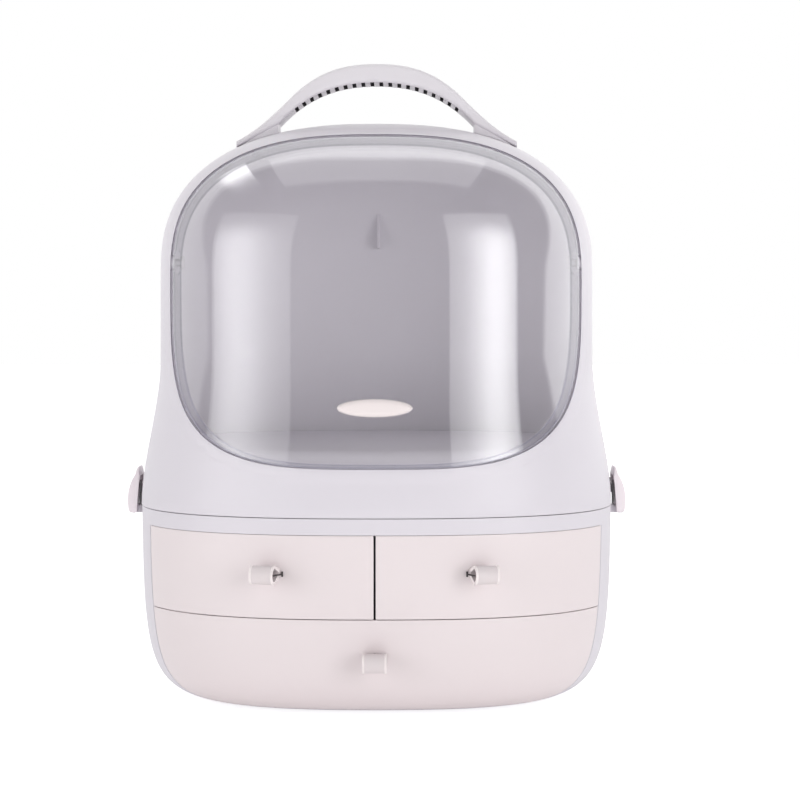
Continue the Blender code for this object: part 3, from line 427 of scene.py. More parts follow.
rubber = moulded_plastic("grey_rubber", RUBBER_GREY, 0.74, 1100.0, 0.00002, 0.06)

one_pad = skin("rubber_pad", round_rings((0, 0, 0), (0, 0, 1), (
    (0.0004, 0.0018), (0.0004, 0.0040), (0, 0.0046), (0, FOOT_RADIUS - 0.0005),
    (0.0005, FOOT_RADIUS), (FOOT_TOP - 0.0004, FOOT_RADIUS), (FOOT_TOP, FOOT_RADIUS - 0.0004)), 48))
pads = Maker("four_pads")
across = pads.size("Across")
deep = pads.size("Deep")
pad = pads.add("GeometryNodeObjectInfo", {}, {"Object": pads.size("Pad", "Object")}, "Geometry")
corners = pads.add("GeometryNodeMeshGrid", {}, {
    "Size X": across, "Size Y": deep, "Vertices X": 2, "Vertices Y": 2})
pads.end(pads.add("GeometryNodeInstanceOnPoints", {}, {"Points": corners, "Instance": pad}), rubber)
feet = grow("rubber_feet", pads, {"Across": 2 * FOOT_ACROSS, "Deep": 2 * FOOT_DEEP, "Pad": one_pad})
bpy.data.objects.remove(one_pad, do_unlink=True)
fit(feet, "case", "rubber", "foot_front_left", "foot_front_right", "foot_back_left", "foot_back_right")


# Drawers
# Each is a curved front in warm, pinkish white plastic, flush with the base, on an open tray of the same
# plastic. The fronts have softly broken edges, which catch a thin line of light along every gap.

DRAWER_GAP = 0.00027
MIDDLE_GAP = 0.0006
END_GAP = 0.0013
FRONT_THICKNESS = 0.0026
ROW_SPLIT = 0.0582
PULL_ACROSS = 0.0580
UPPER_PULL = 0.0843
LOWER_PULL = 0.0381
SCREW_RADIUS = 0.0010

WARM_WHITE = (0.775, 0.700, 0.712)
TRAY_WHITE = (0.80, 0.745, 0.755)

warm_white = moulded_plastic("warm_white_plastic", WARM_WHITE, 0.42, 2600.0, 0.0000055, 0.015)
tray_white = moulded_plastic("tray_white_plastic", TRAY_WHITE, 0.46, 1600.0, 0.000007, 0.02)


def front_arc(sizes, low_x, high_x, z):
    """Points of the bulged front between two x limits, closer together at the ends."""
    points = []
    for k in range(65):
        share = math.sin(math.pi * (k / 64 - 0.5))
        x = (low_x + high_x) / 2 + (high_x - low_x) / 2 * share
        points.append((x, -plan_reach(x, *sizes), z))
    return points


def drawer_front(name, bottom, top, limits, power):
    """Curved front of a drawer."""
    rings = []
    for k in range(25):
        z = bottom + (top - bottom) * (k / 24) ** power
        ring = []
        for inset in (0, FRONT_THICKNESS):
            half_width, half_depth = base_sizes(z - FOOT_REACH, inset)
            end = plan_reach(FRONT_PLANE + END_GAP, half_depth, half_width)
            low = -end if limits[0] is None else limits[0]
            high = end if limits[1] is None else limits[1]
            arc = front_arc((half_width, half_depth), low, high, z)
            ring += arc if inset == 0 else arc[::-1]
        rings.append(ring)
    return skin(name, rings, warm_white)


def front_frame(x, z):
    """Point on the drawer fronts with its outward, sideways and upward directions."""
    half_width, half_depth = base_sizes(z - FOOT_REACH, 0)
    y = -plan_reach(x, half_width, half_depth)
    growth = (base_sizes(z - FOOT_REACH + 0.0003, 0)[0] - half_width) / 0.0003
    slope_x = math.copysign((abs(x) / half_width) ** (PLAN_POWER - 1), x) / half_width
    slope_y = -((abs(y) / half_depth) ** (PLAN_POWER - 1)) / half_depth
    share_x = (abs(x) / half_width) ** PLAN_POWER / half_width
    share_y = (abs(y) / half_depth) ** PLAN_POWER / half_depth
    slope_z = -growth * (share_x + share_y)
    outward = Vector((slope_x, slope_y, slope_z)).normalized()
    sideways = Vector((0, 0, 1)).cross(outward).normalized()
    return Vector((x, y, z)), outward, sideways, outward.cross(sideways)


upper_foot = ROW_SPLIT + DRAWER_GAP
upper_head = TOP_RAIL - DRAWER_GAP
drawers = (
    ("upper_left", (None, -MIDDLE_GAP), -PULL_ACROSS, UPPER_PULL, upper_foot, upper_head, 1.0),
    ("upper_right", (MIDDLE_GAP, None), PULL_ACROSS, UPPER_PULL, upper_foot, upper_head, 1.0),
    ("lower", (None, None), 0.0, LOWER_PULL, DRAWER_LIP + DRAWER_GAP, ROW_SPLIT - DRAWER_GAP, 2.2),
)
for suffix, limits, pull_x, pull_z, bottom, top, power in drawers:
    front = drawer_front("front_" + suffix, bottom, top, limits, power)
    seat, outward, sideways, upward = front_frame(pull_x, pull_z)
    screw_hole = rod_rings(seat, outward, -FAR / 2, FAR / 2, SCREW_RADIUS + FIT)
    carve(front, "DIFFERENCE", skin("screw_hole", screw_hole))
    settle(front, 0.00035, 40, 3)
    fit(front, "drawer_" + suffix, "drawer", "drawer_front_" + suffix)
    tray = refined("drawer_tray_" + suffix, "tray_" + suffix, tray_white, 0.0003)
    fit(tray, "drawer_" + suffix, "tray", "drawer_tray_" + suffix)


# Pulls
# A short strap bent into a loop with hemmed edges and its ends drawn together at the root. The hems and the cut
# ends take a lighter white than the strap, a painted highlight along its edges. A dark screw runs through a
# washer and the root into a small nut inside the loop, and a T-ended pin shows at the open edge.

PULL_HALF_WIDTH = 0.0066
PULL_RADIUS = 0.0050
PULL_REACH = 0.01765
PULL_ROOT_HALF = 0.0018
STRAP = 0.0014
WASHER_RADIUS = 0.0016
WASHER = 0.0008
PULL_ROOT = WASHER + 0.0006
ROOT_DEPTH = 0.0028
NUT_RADIUS = 0.0017
NUT = 0.0012
HEAD_RADIUS = 0.0030
HEAD = 0.0014
SCREW_GRIP = 0.0027
HEM = 0.0009
HEM_RISE = 0.00022
PIN_SHANK = 0.00045
PIN_BAR = 0.0015

# Painted highlight: the lighter white of the hems and cut ends stands for light caught along the strap's edges.
HEM_HIGHLIGHT_WHITE = (0.86, 0.79, 0.79)
STRAP_WHITE = (0.70, 0.635, 0.645)
DARK_STEEL = (0.055, 0.05, 0.052)

strap_finish = Finish("strap_plastic", {"IOR": 1.48})
weave = strap_finish.add("ShaderNodeTexWave", {"wave_type": "BANDS", "bands_direction": "Z"}, {
    "Vector": strap_finish.place, "Scale": 420.0, "Distortion": 0.6, "Detail": 1.0})
pores = strap_finish.noise(strap_finish.place, 2200.0)
strap_shade = strap_finish.blend(pores, tinted(STRAP_WHITE, 0.97), tinted(STRAP_WHITE, 1.03))
strap_finish.drive("Base Color", strap_shade)
strap_finish.drive("Roughness", pores * 0.16 + 0.40)
strap_finish.emboss(weave * 0.00003 + pores * 0.00005, 0.4)

# Hem finish: a lighter white that paints a highlight along the strap's edges.
hem_highlight_finish = Finish("hem_plastic", {"IOR": 1.48})
hem_pores = hem_highlight_finish.noise(hem_highlight_finish.place, 2600.0)
hem_highlight_finish.drive("Base Color", hem_highlight_finish.blend(hem_pores, tinted(HEM_HIGHLIGHT_WHITE, 0.98), tinted(HEM_HIGHLIGHT_WHITE, 1.02)))
hem_highlight_finish.drive("Roughness", hem_pores * 0.12 + 0.34)
hem_highlight_finish.emboss(hem_pores * 0.00001, 0.4)

steel_finish = Finish("dark_steel", {"Metallic": 1.0})
lathe = steel_finish.noise(steel_finish.place, 900.0, 4.0)
steel_finish.drive("Base Color", steel_finish.blend(lathe, tinted(DARK_STEEL, 0.7), tinted(DARK_STEEL, 1.5)))
steel_finish.drive("Roughness", lathe * 0.25 + 0.25)
steel_finish.emboss(lathe * 0.00002, 0.3)
dark_steel = steel_finish.material


def teardrop(radius, reach, root, root_half):
    """Outline in (outwards, up) with straight flanks from the root to the round front."""
    centre = reach - radius
    first = math.pi / 2 + math.atan2(radius - root_half, centre - root)
    outline = [(root, root_half)]
    for k in range(41):
        angle = first - 2 * first * k / 40
        outline.append((centre + radius * math.cos(angle), radius * math.sin(angle)))
    outline.append((root, -root_half))
    return outline


for suffix, limits, pull_x, pull_z, bottom, top, power in drawers:
    seat, outward, sideways, upward = front_frame(pull_x, pull_z)

    def strap_ring(outline, along):
        """Outline of the strap at a distance along the loop's width."""
        return [seat + outward * out + sideways * along + upward * up for out, up in outline]

    body = "drawer_" + suffix
    plain = teardrop(PULL_RADIUS, PULL_REACH, PULL_ROOT, PULL_ROOT_HALF)
    hemmed = teardrop(PULL_RADIUS + HEM_RISE, PULL_REACH + HEM_RISE, PULL_ROOT, PULL_ROOT_HALF)
    hem_start = PULL_HALF_WIDTH - HEM
    plain_end = hem_start - HEM_RISE
    places = ((-PULL_HALF_WIDTH, hemmed), (-hem_start, hemmed), (-plain_end, plain),
              (plain_end, plain), (hem_start, hemmed), (PULL_HALF_WIDTH, hemmed))
    loop = skin("strap_" + suffix, [strap_ring(form, along) for along, form in places], strap_finish.material)
    # Faces past the plain middle, the hems and cut ends, take the painted highlight.
    loop.data.materials.append(hem_highlight_finish.material)
    for side_face in loop.data.polygons:
        if abs((side_face.center - seat).dot(sideways)) > plain_end:
            side_face.material_index = 1
    root_end = PULL_ROOT + ROOT_DEPTH
    hollow = teardrop(PULL_RADIUS - STRAP, PULL_REACH - STRAP, root_end, PULL_ROOT_HALF - STRAP)
    carve(loop, "DIFFERENCE", skin("loop_hollow", [strap_ring(hollow, along) for along in (-FAR, FAR)]))
    carve(loop, "DIFFERENCE", skin("root_hole", rod_rings(
        seat, outward, -FAR / 2, root_end + PULL_RADIUS, SCREW_RADIUS + FIT, 24)))
    settle(loop, 0.0003, 40, 3)
    fit(loop, body, "strap", "pull_loop_" + suffix)
    open_side = -1 if pull_x > 0 else 1
    pin_out = PULL_HALF_WIDTH + (0.0010 if pull_x else -0.0020)
    pin_foot = seat + sideways * (open_side * pin_out) + outward * 0.0007 - upward * 0.0012
    pin_in = PULL_HALF_WIDTH - 0.0016
    pin_tip = seat + sideways * (open_side * pin_in) + outward * (PULL_REACH - STRAP - 0.0002)
    pin_run = pin_tip - pin_foot
    pin = solids("edge_pin_" + suffix, [
        rod_rings(pin_foot, pin_run.normalized(), 0.0001, pin_run.length, PIN_SHANK, 20),
        round_rings(pin_foot - upward * PIN_BAR, upward, (
            (0, 0.0003), (0.0002, 0.0005),
            (2 * PIN_BAR - 0.0002, 0.0005), (2 * PIN_BAR, 0.0003)), 20)], dark_steel)
    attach(settle(pin), body)
    washer = skin("washer_" + suffix, round_rings(seat, outward, (
        (0.0003, WASHER_RADIUS - 0.0002), (0.0005, WASHER_RADIUS), (WASHER + 0.0001, WASHER_RADIUS),
        (WASHER + 0.0003, WASHER_RADIUS - 0.0002)), 36), dark_steel)
    carve(washer, "DIFFERENCE", skin("washer_hole", rod_rings(
        seat, outward, -FAR / 2, FAR / 2, SCREW_RADIUS + 0.0002, 36)))
    fit(settle(washer), body, "steel", "pull_washer_" + suffix)
    inner_face = FRONT_THICKNESS + SCREW_GRIP
    nut_end = PULL_REACH - PULL_RADIUS + math.sqrt((PULL_RADIUS - STRAP) ** 2 - NUT_RADIUS**2) - 0.0003
    screw = skin("screw_" + suffix, round_rings(seat, outward, (
        (-inner_face - HEAD, HEAD_RADIUS * 0.55), (-inner_face - HEAD * 0.8, HEAD_RADIUS * 0.85),
        (-inner_face - HEAD * 0.3, HEAD_RADIUS), (-inner_face, HEAD_RADIUS),
        (-inner_face, SCREW_RADIUS), (nut_end - NUT, SCREW_RADIUS), (nut_end - NUT, NUT_RADIUS * 0.92),
        (nut_end - NUT * 0.85, NUT_RADIUS), (nut_end - NUT * 0.2, NUT_RADIUS),
        (nut_end, NUT_RADIUS * 0.9)), 36), dark_steel)
    for first, second in ((sideways, upward), (upward, sideways)):
        slot_rings = []
        for out in (-inner_face - HEAD - 0.001, -inner_face - HEAD * 0.45):
            slot_rings.append([seat + outward * out + first * a * HEAD_RADIUS * 0.55 + second * b * 0.0003
                               for a, b in ((-1, -1), (1, -1), (1, 1), (-1, 1))])
        carve(screw, "DIFFERENCE", skin("head_slot", slot_rings))
    fit(settle(screw), body, "steel", "pull_screw_" + suffix)


# Hood
# The upper half, moulded from the same cool white plastic, with a raised band round its wide opening. Bosses
# for the visor pins and handle screws, latch keepers and a short rib on the back wall are moulded on. Its inner
# faces take a lighter copy of the plastic, painted light that brightens the shaded inside of the hood.

HOOD_FLARE = 0.011
FLARE_TOP = 0.200
FLARE_FOOT = 0.112
SHOULDER = 0.251
HOOD_TOP = 0.338
CAP_POWER = 2.42
HOOD_HALF_WIDTH = CASE_HALF_WIDTH - HOOD_FLARE
HOOD_HALF_DEPTH = CASE_HALF_DEPTH - HOOD_FLARE
HOOD_BOTTOM = SEAM + 0.0005
OPENING_HALF_WIDTH = 0.1182
OPENING_MIDDLE = 0.245
OPENING_RISE = 0.0834
OPENING_FALL = 0.1046
OPENING_TOP_POWER = 2.67
OPENING_BOTTOM_POWER = 3.7
RIM_WIDTH = 0.0052
RIM_RISE = 0.0003
PIVOT_FACE = 0.1158
PIVOT_BACK = 0.042
PIVOT_HEIGHT = 0.255
PIN_RADIUS = 0.0020
HANDLE_SCREW_ACROSS = 0.0700
HANDLE_SCREW_RADIUS = 0.0016
HANDLE_BOSS_UNDER = 0.3195
BOSS_RADIUS = 0.0045
PIVOT_BORE = 0.0024
KEEPER_UNDER = 0.1193
KEEPER_TOP = 0.1218
KEEPER_HALF_WIDTH = 0.006
KEEPER_REACH = 0.0022
RIB_BACK = 0.092
RIB_FOOT = 0.2665
RIB_HEAD = 0.292
RIB_HALF = 0.0009

# Painted light: the inner faces of the hood take a lighter copy of the cool white.
INSIDE_LIT_WHITE = (0.765, 0.738, 0.785)

hood_inside_lit = moulded_plastic("inside_white_plastic", INSIDE_LIT_WHITE, 0.46, 1900.0, 0.000006)


def hood_sizes(z, inset):
    """Half width and half depth of the hood at any height, drawn in by an inset."""
    if z <= SHOULDER:
        share = min(max((FLARE_TOP - z) / (FLARE_TOP - FLARE_FOOT), 0), 1)
        flare = HOOD_FLARE * (3 * share**2 - 2 * share**3)
        return HOOD_HALF_WIDTH + flare - inset, HOOD_HALF_DEPTH + flare - inset
    rise = min((z - SHOULDER) / (HOOD_TOP - inset - SHOULDER), 1.0)
    share = (1 - rise**CAP_POWER) ** (1 / CAP_POWER)
    return (HOOD_HALF_WIDTH - inset) * share, (HOOD_HALF_DEPTH - inset) * share


def hood_rings(inset, bottom, count=144):
    """Rings of the hood's surface from a bottom level to the top."""
    rings = []
    for k in range(25):
        z = bottom + (SHOULDER - bottom) * k / 24
        rings.append(plan_ring(hood_sizes(z, inset), z, count))
    for k in range(1, 30):
        angle = math.radians(89.4) * k / 29
        z = SHOULDER + (HOOD_TOP - inset - SHOULDER) * math.sin(angle) ** (2 / CAP_POWER)
        rings.append(plan_ring(hood_sizes(z, inset), z, count))
    return rings


def even_points(points, count):
    """A closed outline with its points spread evenly along it."""
    loop = np.array(points + points[:1])
    run = np.concatenate(([0.0], np.cumsum(np.linalg.norm(np.diff(loop, axis=0), axis=1))))
    places = np.linspace(0, run[-1], count, endpoint=False)
    return list(zip(np.interp(places, run, loop[:, 0]), np.interp(places, run, loop[:, 1])))


def opening_outline(shrink, shrink_below, count=220):
    """Outline of the visor opening in (x, z), drawn in by a margin."""
    points = []
    for k in range(2400):
        angle = 2 * math.pi * k / 2400
        cosine = math.cos(angle)
        sine = math.sin(angle)
        power = OPENING_TOP_POWER if sine >= 0 else OPENING_BOTTOM_POWER
        reach = OPENING_RISE - shrink if sine >= 0 else OPENING_FALL - shrink_below
        x = (OPENING_HALF_WIDTH - shrink) * signed_power(cosine, 2 / power)
        z = OPENING_MIDDLE + reach * signed_power(sine, 2 / power)
        points.append((x, z))
    return even_points(points, count)


inner_wall = hood_rings(SHELL_WALL, HOOD_BOTTOM)[::-1]
hood = skin("hood_upper_shell", inner_wall + hood_rings(0, HOOD_BOTTOM), cool_white)
hood.data.materials.append(hood_inside_lit)
hood_middle = Vector((0, 0, SHOULDER))
# The inner faces get the lighter copy, painted light inside the hood.
for wall_face in hood.data.polygons:
    faces_in = wall_face.normal.dot(wall_face.center - hood_middle) < 0
    if faces_in and wall_face.center.z > HOOD_BOTTOM:
        wall_face.material_index = 1
hood_form = skin("hood_form", hood_rings(FIT, FLARE_FOOT, 96))
bosses = []
holes = []
keepers = []
for side in (-1, 1):
    pivot = (side * PIVOT_FACE, -PIVOT_BACK, PIVOT_HEIGHT)
    bosses.append(rod_rings(pivot, (side, 0, 0), 0, FAR, BOSS_RADIUS, 36))
    holes.append(rod_rings(pivot, (side, 0, 0), -FAR, PIVOT_BORE, PIN_RADIUS + FIT, 36))
    foot = (side * HANDLE_SCREW_ACROSS, 0, HANDLE_BOSS_UNDER)
    bosses.append(rod_rings(foot, (0, 0, 1), 0, FAR, BOSS_RADIUS, 36))
    holes.append(rod_rings(foot, (0, 0, 1), -FAR, 2 * FAR, HANDLE_SCREW_RADIUS + FIT, 36))
    surface = hood_sizes(KEEPER_TOP, 0)[0]
    keepers.append(block_rings(
        (side * (surface - SHELL_WALL / 2), -KEEPER_HALF_WIDTH, KEEPER_UNDER),
        (side * (surface + KEEPER_REACH), KEEPER_HALF_WIDTH, KEEPER_TOP)))
rib = ((RIB_BACK, RIB_FOOT), (0.0736, RIB_FOOT), (0.0856, RIB_HEAD), (RIB_BACK, RIB_HEAD))
bosses.append([[(x, y, z) for y, z in rib] for x in (-RIB_HALF, RIB_HALF)])
rim = skin("opening_rim", hood_rings(-RIM_RISE, FLARE_FOOT))
rim_line = opening_outline(-RIM_WIDTH, -RIM_WIDTH)
carve(rim, "INTERSECT", skin("rim_outline", [[(x, y, z) for x, z in rim_line] for y in (-0.13, -0.004)]))
carve(rim, "DIFFERENCE", skin("rim_core", hood_rings(SHELL_WALL / 2, FLARE_FOOT)))
settle(rim)
rim.hide_render = True
boss_tool = solids("boss_tool", bosses)
carve(boss_tool, "INTERSECT", hood_form)
settle(boss_tool)
boss_tool.hide_render = True
carve(hood, "UNION", rim)
opening = opening_outline(0, 0)
carve(hood, "DIFFERENCE", skin("visor_opening", [[(x, y, z) for x, z in opening] for y in (-0.13, -0.010)]))
carve(hood, "UNION", boss_tool)
carve(hood, "UNION", solids("keeper_tool", keepers))
carve(hood, "DIFFERENCE", solids("hood_holes", holes))
settle(hood, 0.00035)
fit(hood, "case", "shell", "hood_shell")


# Compartment floor
# A raised floor in the greyer plastic with a rounded edge and a skirt that drops into the base rim.

deck = refined("compartment_floor", "raised_floor", inner_grey, 0.0)
fit(deck, "case", "inner", "compartment_floor")


# Carry handle
# An arched, rounded strap of the cool white plastic with a gusset at each foot and a row of small pockets
# moulded into the underside of the grip, lined with near-black grey as painted shade for their deep hollows.
# Two screws hold it from inside the hood.

HANDLE_WHITE = (0.725, 0.695, 0.730)
# Painted shade: the near-black grey that lines the grip pockets stands for the shade deep inside them.
POCKET_PAINTED_SHADE = (0.085, 0.080, 0.088)
HANDLE_TOP = 0.3734
HANDLE_GRIP = 0.0113
HANDLE_HALF_DEPTH = 0.0130
HANDLE_ELBOW = 0.0475
HANDLE_ELBOW_DROP = 0.0167
HANDLE_HALF_SPAN = 0.0830
HANDLE_TIP_HEIGHT = 0.3275
HANDLE_TIP = 0.0035
ARCH_HALF = 0.0580
ARCH_FOOT = 0.3375
HANDLE_ROUND = 0.0026
POCKETS = 20
POCKET_PITCH = 0.00535

handle_white = moulded_plastic("handle_plastic", HANDLE_WHITE, 0.38, 2300.0, 0.0000055)

# Pocket lining: painted shade for the deep hollows of the grip.
pocket_painted_shade = moulded_plastic("pocket_grey_plastic", POCKET_PAINTED_SHADE, 0.70, 1500.0, 0.00001, 0.05)


def bezier(first, second, third, fourth, steps):
    """Points along a cubic curve, both ends included."""
    points = []
    for k in range(steps + 1):
        t = k / steps
        s = 1 - t
        weights = (s**3, 3 * s * s * t, 3 * s * t * t, t**3)
        corners = zip(weights, (first, second, third, fourth))
        points.append(tuple(sum(w * np.array(corner) for w, corner in corners)))
    return points


def handle_pairs():
    """Outer and inner points of the arch, from one foot to the other."""
    elbow = (HANDLE_ELBOW, HANDLE_TOP - HANDLE_ELBOW_DROP)
    tip = (HANDLE_HALF_SPAN, HANDLE_TIP_HEIGHT)
    over_run = HANDLE_HALF_SPAN - HANDLE_ELBOW
    over_drop = elbow[1] - HANDLE_TIP_HEIGHT
    outer = bezier((0, HANDLE_TOP), (HANDLE_ELBOW * 0.46, HANDLE_TOP),
                   (HANDLE_ELBOW * 0.72, HANDLE_TOP - HANDLE_ELBOW_DROP * 0.32), elbow, 24)
    outer += bezier(elbow, (HANDLE_ELBOW + over_run * 0.28, elbow[1] - over_drop * 0.33),
                    (HANDLE_ELBOW + over_run * 0.58, elbow[1] - over_drop * 0.73), tip, 24)[1:]
    under_top = HANDLE_TOP - HANDLE_GRIP
    drop = under_top - ARCH_FOOT
    inner = bezier((0, under_top), (ARCH_HALF * 0.41, under_top), (ARCH_HALF * 0.72, under_top - drop * 0.29),
                   (ARCH_HALF, ARCH_FOOT), 32)
    for k in range(1, 17):
        inner.append((ARCH_HALF + (HANDLE_HALF_SPAN - ARCH_HALF) * k / 16,
                      ARCH_FOOT + (HANDLE_TIP_HEIGHT - HANDLE_TIP - ARCH_FOOT) * k / 16))
    right = list(zip(outer, inner))
    left = [((-a[0], a[1]), (-b[0], b[1])) for a, b in right[:0:-1]]
    return left + right


def strap_section(above, below):
    """Rounded rectangle between an outer and an inner point of the arch, a little crowned on top."""
    span = math.dist(above, below)
    along = ((below[0] - above[0]) / span, (below[1] - above[1]) / span)
    radius = min(HANDLE_ROUND, span * 0.45)
    ring = []
    corners = ((HANDLE_HALF_DEPTH - radius, radius, -90), (HANDLE_HALF_DEPTH - radius, span - radius, 0),
               (radius - HANDLE_HALF_DEPTH, span - radius, 90), (radius - HANDLE_HALF_DEPTH, radius, 180))
    for y, depth, start in corners:
        for turn in range(0, 91, 15):
            angle = math.radians(start + turn)
            down = depth + radius * math.sin(angle)
            across = y + radius * math.cos(angle)
            ring.append((above[0] + along[0] * down, across, above[1] + along[1] * down))
    return ring


pairs = handle_pairs()
handle = skin("arched_handle", [strap_section(above, below) for above, below in pairs], handle_white)
gussets = []
for side in (-1, 1):
    outline = ((side * ARCH_HALF, ARCH_FOOT + 0.0015), (side * 0.0795, HANDLE_TIP_HEIGHT - 0.0020),
               (side * 0.0795, HANDLE_TIP_HEIGHT - 0.0185), (side * ARCH_HALF, HANDLE_TIP_HEIGHT - 0.0185))
    gussets.append([[(x, y, z) for x, z in outline] for y in (-0.0115, 0.0115)])
carve(handle, "UNION", solids("gussets", gussets))
carve(handle, "DIFFERENCE", skin("handle_seat", hood_rings(-FIT, FLARE_FOOT)))

arch = bpy.data.meshes.new("arch_line")
arch_work = bmesh.new()
arch_points = []
for above, below in pairs:
    if abs(below[0]) <= ARCH_HALF:
        arch_points.append(arch_work.verts.new((below[0], 0, below[1])))
for first, second in zip(arch_points, arch_points[1:]):
    arch_work.edges.new((first, second))
arch_work.to_mesh(arch)
arch_work.free()
arch_line = bpy.data.objects.new("arch_line", arch)
bpy.context.scene.collection.objects.link(arch_line)
arch_line.hide_render = True

pockets = Maker("grip_pockets")
pitch = pockets.size("Pitch")
width = pockets.size("Width")
length = pockets.size("Length")
sink = pockets.size("Sink")
count = pockets.size("Count", "Int")
line = pockets.add("GeometryNodeMeshToCurve", {}, {"Mesh": pockets.given()})
whole = pockets.add("GeometryNodeCurveLength", {}, {"Curve": line})
row = (count - 1) * pitch
start_at = whole * 0.5 - row * 0.5
trimmed = pockets.add("GeometryNodeTrimCurve", {"mode": "LENGTH"}, {
    "Curve": line, 4: start_at, 5: start_at + row})
dots = pockets.add("GeometryNodeCurveToPoints", {"mode": "COUNT"}, {"Curve": trimmed, "Count": count})
turn = Wire(pockets, dots.socket.node.outputs["Rotation"])
size_vector = pockets.add("ShaderNodeCombineXYZ", {}, {"X": length, "Y": sink, "Z": width})
slot_block = pockets.add("GeometryNodeMeshCube", {}, {"Size": size_vector})
pockets.end(pockets.add("GeometryNodeInstanceOnPoints", {}, {
    "Points": dots, "Instance": slot_block, "Rotation": turn}), pocket_painted_shade)
pocket_tool = grow("pocket_tool", pockets, {
    "Pitch": POCKET_PITCH, "Width": 0.0023, "Length": 0.0232, "Sink": 0.0110, "Count": POCKETS}, arch_line)
pocket_tool.hide_render = True
carve(handle, "DIFFERENCE", pocket_tool)
handle.modifiers[-1].material_mode = "TRANSFER"
handle_holes = [rod_rings((side * HANDLE_SCREW_ACROSS, 0, HANDLE_TIP_HEIGHT), (0, 0, 1),
                          -0.0275, 0.0053, HANDLE_SCREW_RADIUS + FIT, 24) for side in (-1, 1)]
carve(handle, "DIFFERENCE", solids("handle_holes", handle_holes))
settle(handle, 0.0003, 40, 2)
fit(handle, "case", "handle", "carry_handle")

for side, name in ((-1, "left"), (1, "right")):
    place = (side * HANDLE_SCREW_ACROSS, 0, HANDLE_BOSS_UNDER)
    screw = skin("handle_fixing_" + name, round_rings(place, (0, 0, 1), (
        (-0.0025, 0.0018), (-0.0022, 0.0027), (-0.0012, 0.0032), (-0.0003, 0.0032),
        (-0.0003, HANDLE_SCREW_RADIUS), (0.0130, HANDLE_SCREW_RADIUS)), 36), handle_white)
    for half_x, half_y in ((0.0016, 0.0003), (0.0003, 0.0016)):
        carve(screw, "DIFFERENCE", skin("head_slot", block_rings(
            (place[0] - half_x, -half_y, place[2] - 0.004), (place[0] + half_x, half_y, place[2] - 0.0015))))
    fit(settle(screw), "case", "steel", "handle_screw_" + name)


# Visor
# A clear acrylic shell with a light smoke tint, moulded flush with the hood, with a thicker border along its
# edge and an ear on each side that turns on a headed pin. The border is tinted and hazed more deeply, partly
# for its thicker plastic and partly as painted shade; two darker bands on its outer edge wall and inner step
# are painted shade and refraction lines.

VISOR_GAP = 0.0013
VISOR_GAP_BELOW = 0.0006
VISOR_WALL = 0.0020
BORDER_WALL = 0.0042
BORDER_WIDTH = 0.0052
BORDER_WIDTH_BELOW = 0.0016
EAR_FACE = 0.1154
EAR_WALL = 0.0028
EAR_RADIUS = 0.0070

SMOKE = (0.982, 0.978, 0.984)
# Border colours: the edge tint and haze are partly the thicker plastic and partly painted shade; the rim tint
# is painted shade and refraction, lighter and more violet towards the bottom.
SMOKE_EDGE = (0.96, 0.96, 0.97)
SMOKE_RIM_SHADE = (0.76, 0.76, 0.80)
VIOLET_RIM_SHADE = (0.87, 0.86, 0.96)
VIOLET_EDGE = (0.97, 0.97, 0.99)


def hood_front(x, z, inset):
    """Depth in y of the hood's front surface at a point seen from the front."""
    half_width, half_depth = hood_sizes(z, inset)
    if abs(x) >= half_width:
        return 0.0
    return -plan_reach(x, half_width, half_depth)


def clear_plastic(name, tint, low_tint, gloss, haze, haze_colour):
    """Clear plastic that passes light straight on, mirrors its surroundings and has a breath of haze."""
    finish = Finish(name, {"Metallic": 1.0})
    smear = finish.noise(finish.place, 22.0, 3.0)
    fine = finish.noise(finish.place, 800.0)
    finish.drive("Base Color", finish.blend(fine, (0.97, 0.97, 0.98, 1.0), (1.0, 1.0, 1.0, 1.0)))
    finish.drive("Roughness", smear * 0.04 + 0.02)
    finish.emboss(smear * 0.00002)
    # Below about 0.23 m the tint blends to the low tint; on the border this lightens its painted shade towards
    # the bottom.
    height = finish.add("ShaderNodeSeparateXYZ", {}, {0: finish.place}, output="Z")
    lower = finish.add("ShaderNodeMapRange", {"interpolation_type": "SMOOTHSTEP"}, {
        "Value": height, "From Min": 0.230, "From Max": 0.180, "To Min": 0.0, "To Max": 1.0})
    shade = finish.blend(lower, tinted(tint, 1.0), tinted(low_tint, 1.0))
    through = finish.add("ShaderNodeBsdfTransparent", {}, {"Color": shade})
    dust = finish.add("ShaderNodeBsdfDiffuse", {}, {"Color": tinted(haze_colour, 1.0)})
    hazy = finish.add("ShaderNodeMixShader", {}, {0: smear * (0.5 * haze) + 0.75 * haze, 1: through, 2: dust})
    slant = finish.add("ShaderNodeLayerWeight", {}, {"Blend": 0.5}, output="Facing")
    finish.feed(finish.surface, finish.add("ShaderNodeMixShader", {}, {
        0: slant**2.7 * (1 - gloss) + gloss, 1: hazy, 2: Wire(finish, finish.shader.outputs[0])}))
    return finish.material


smoke_clear = clear_plastic("smoke_clear_plastic", SMOKE, SMOKE, 0.068, 0.02, (0.78, 0.77, 0.80))
smoke_edge = clear_plastic("smoke_edge_plastic", SMOKE_EDGE, VIOLET_EDGE, 0.068, 0.16, (0.66, 0.65, 0.71))
smoke_rim_shade = clear_plastic("smoke_rim_plastic", SMOKE_RIM_SHADE, VIOLET_RIM_SHADE, 0.068, 0.22, (0.44, 0.43, 0.50))

outline = opening_outline(VISOR_GAP, VISOR_GAP_BELOW, 240)
inner_line = opening_outline(VISOR_GAP + BORDER_WIDTH, VISOR_GAP_BELOW + BORDER_WIDTH_BELOW, 240)
middle = np.array((0.0, OPENING_MIDDLE))
work = bmesh.new()


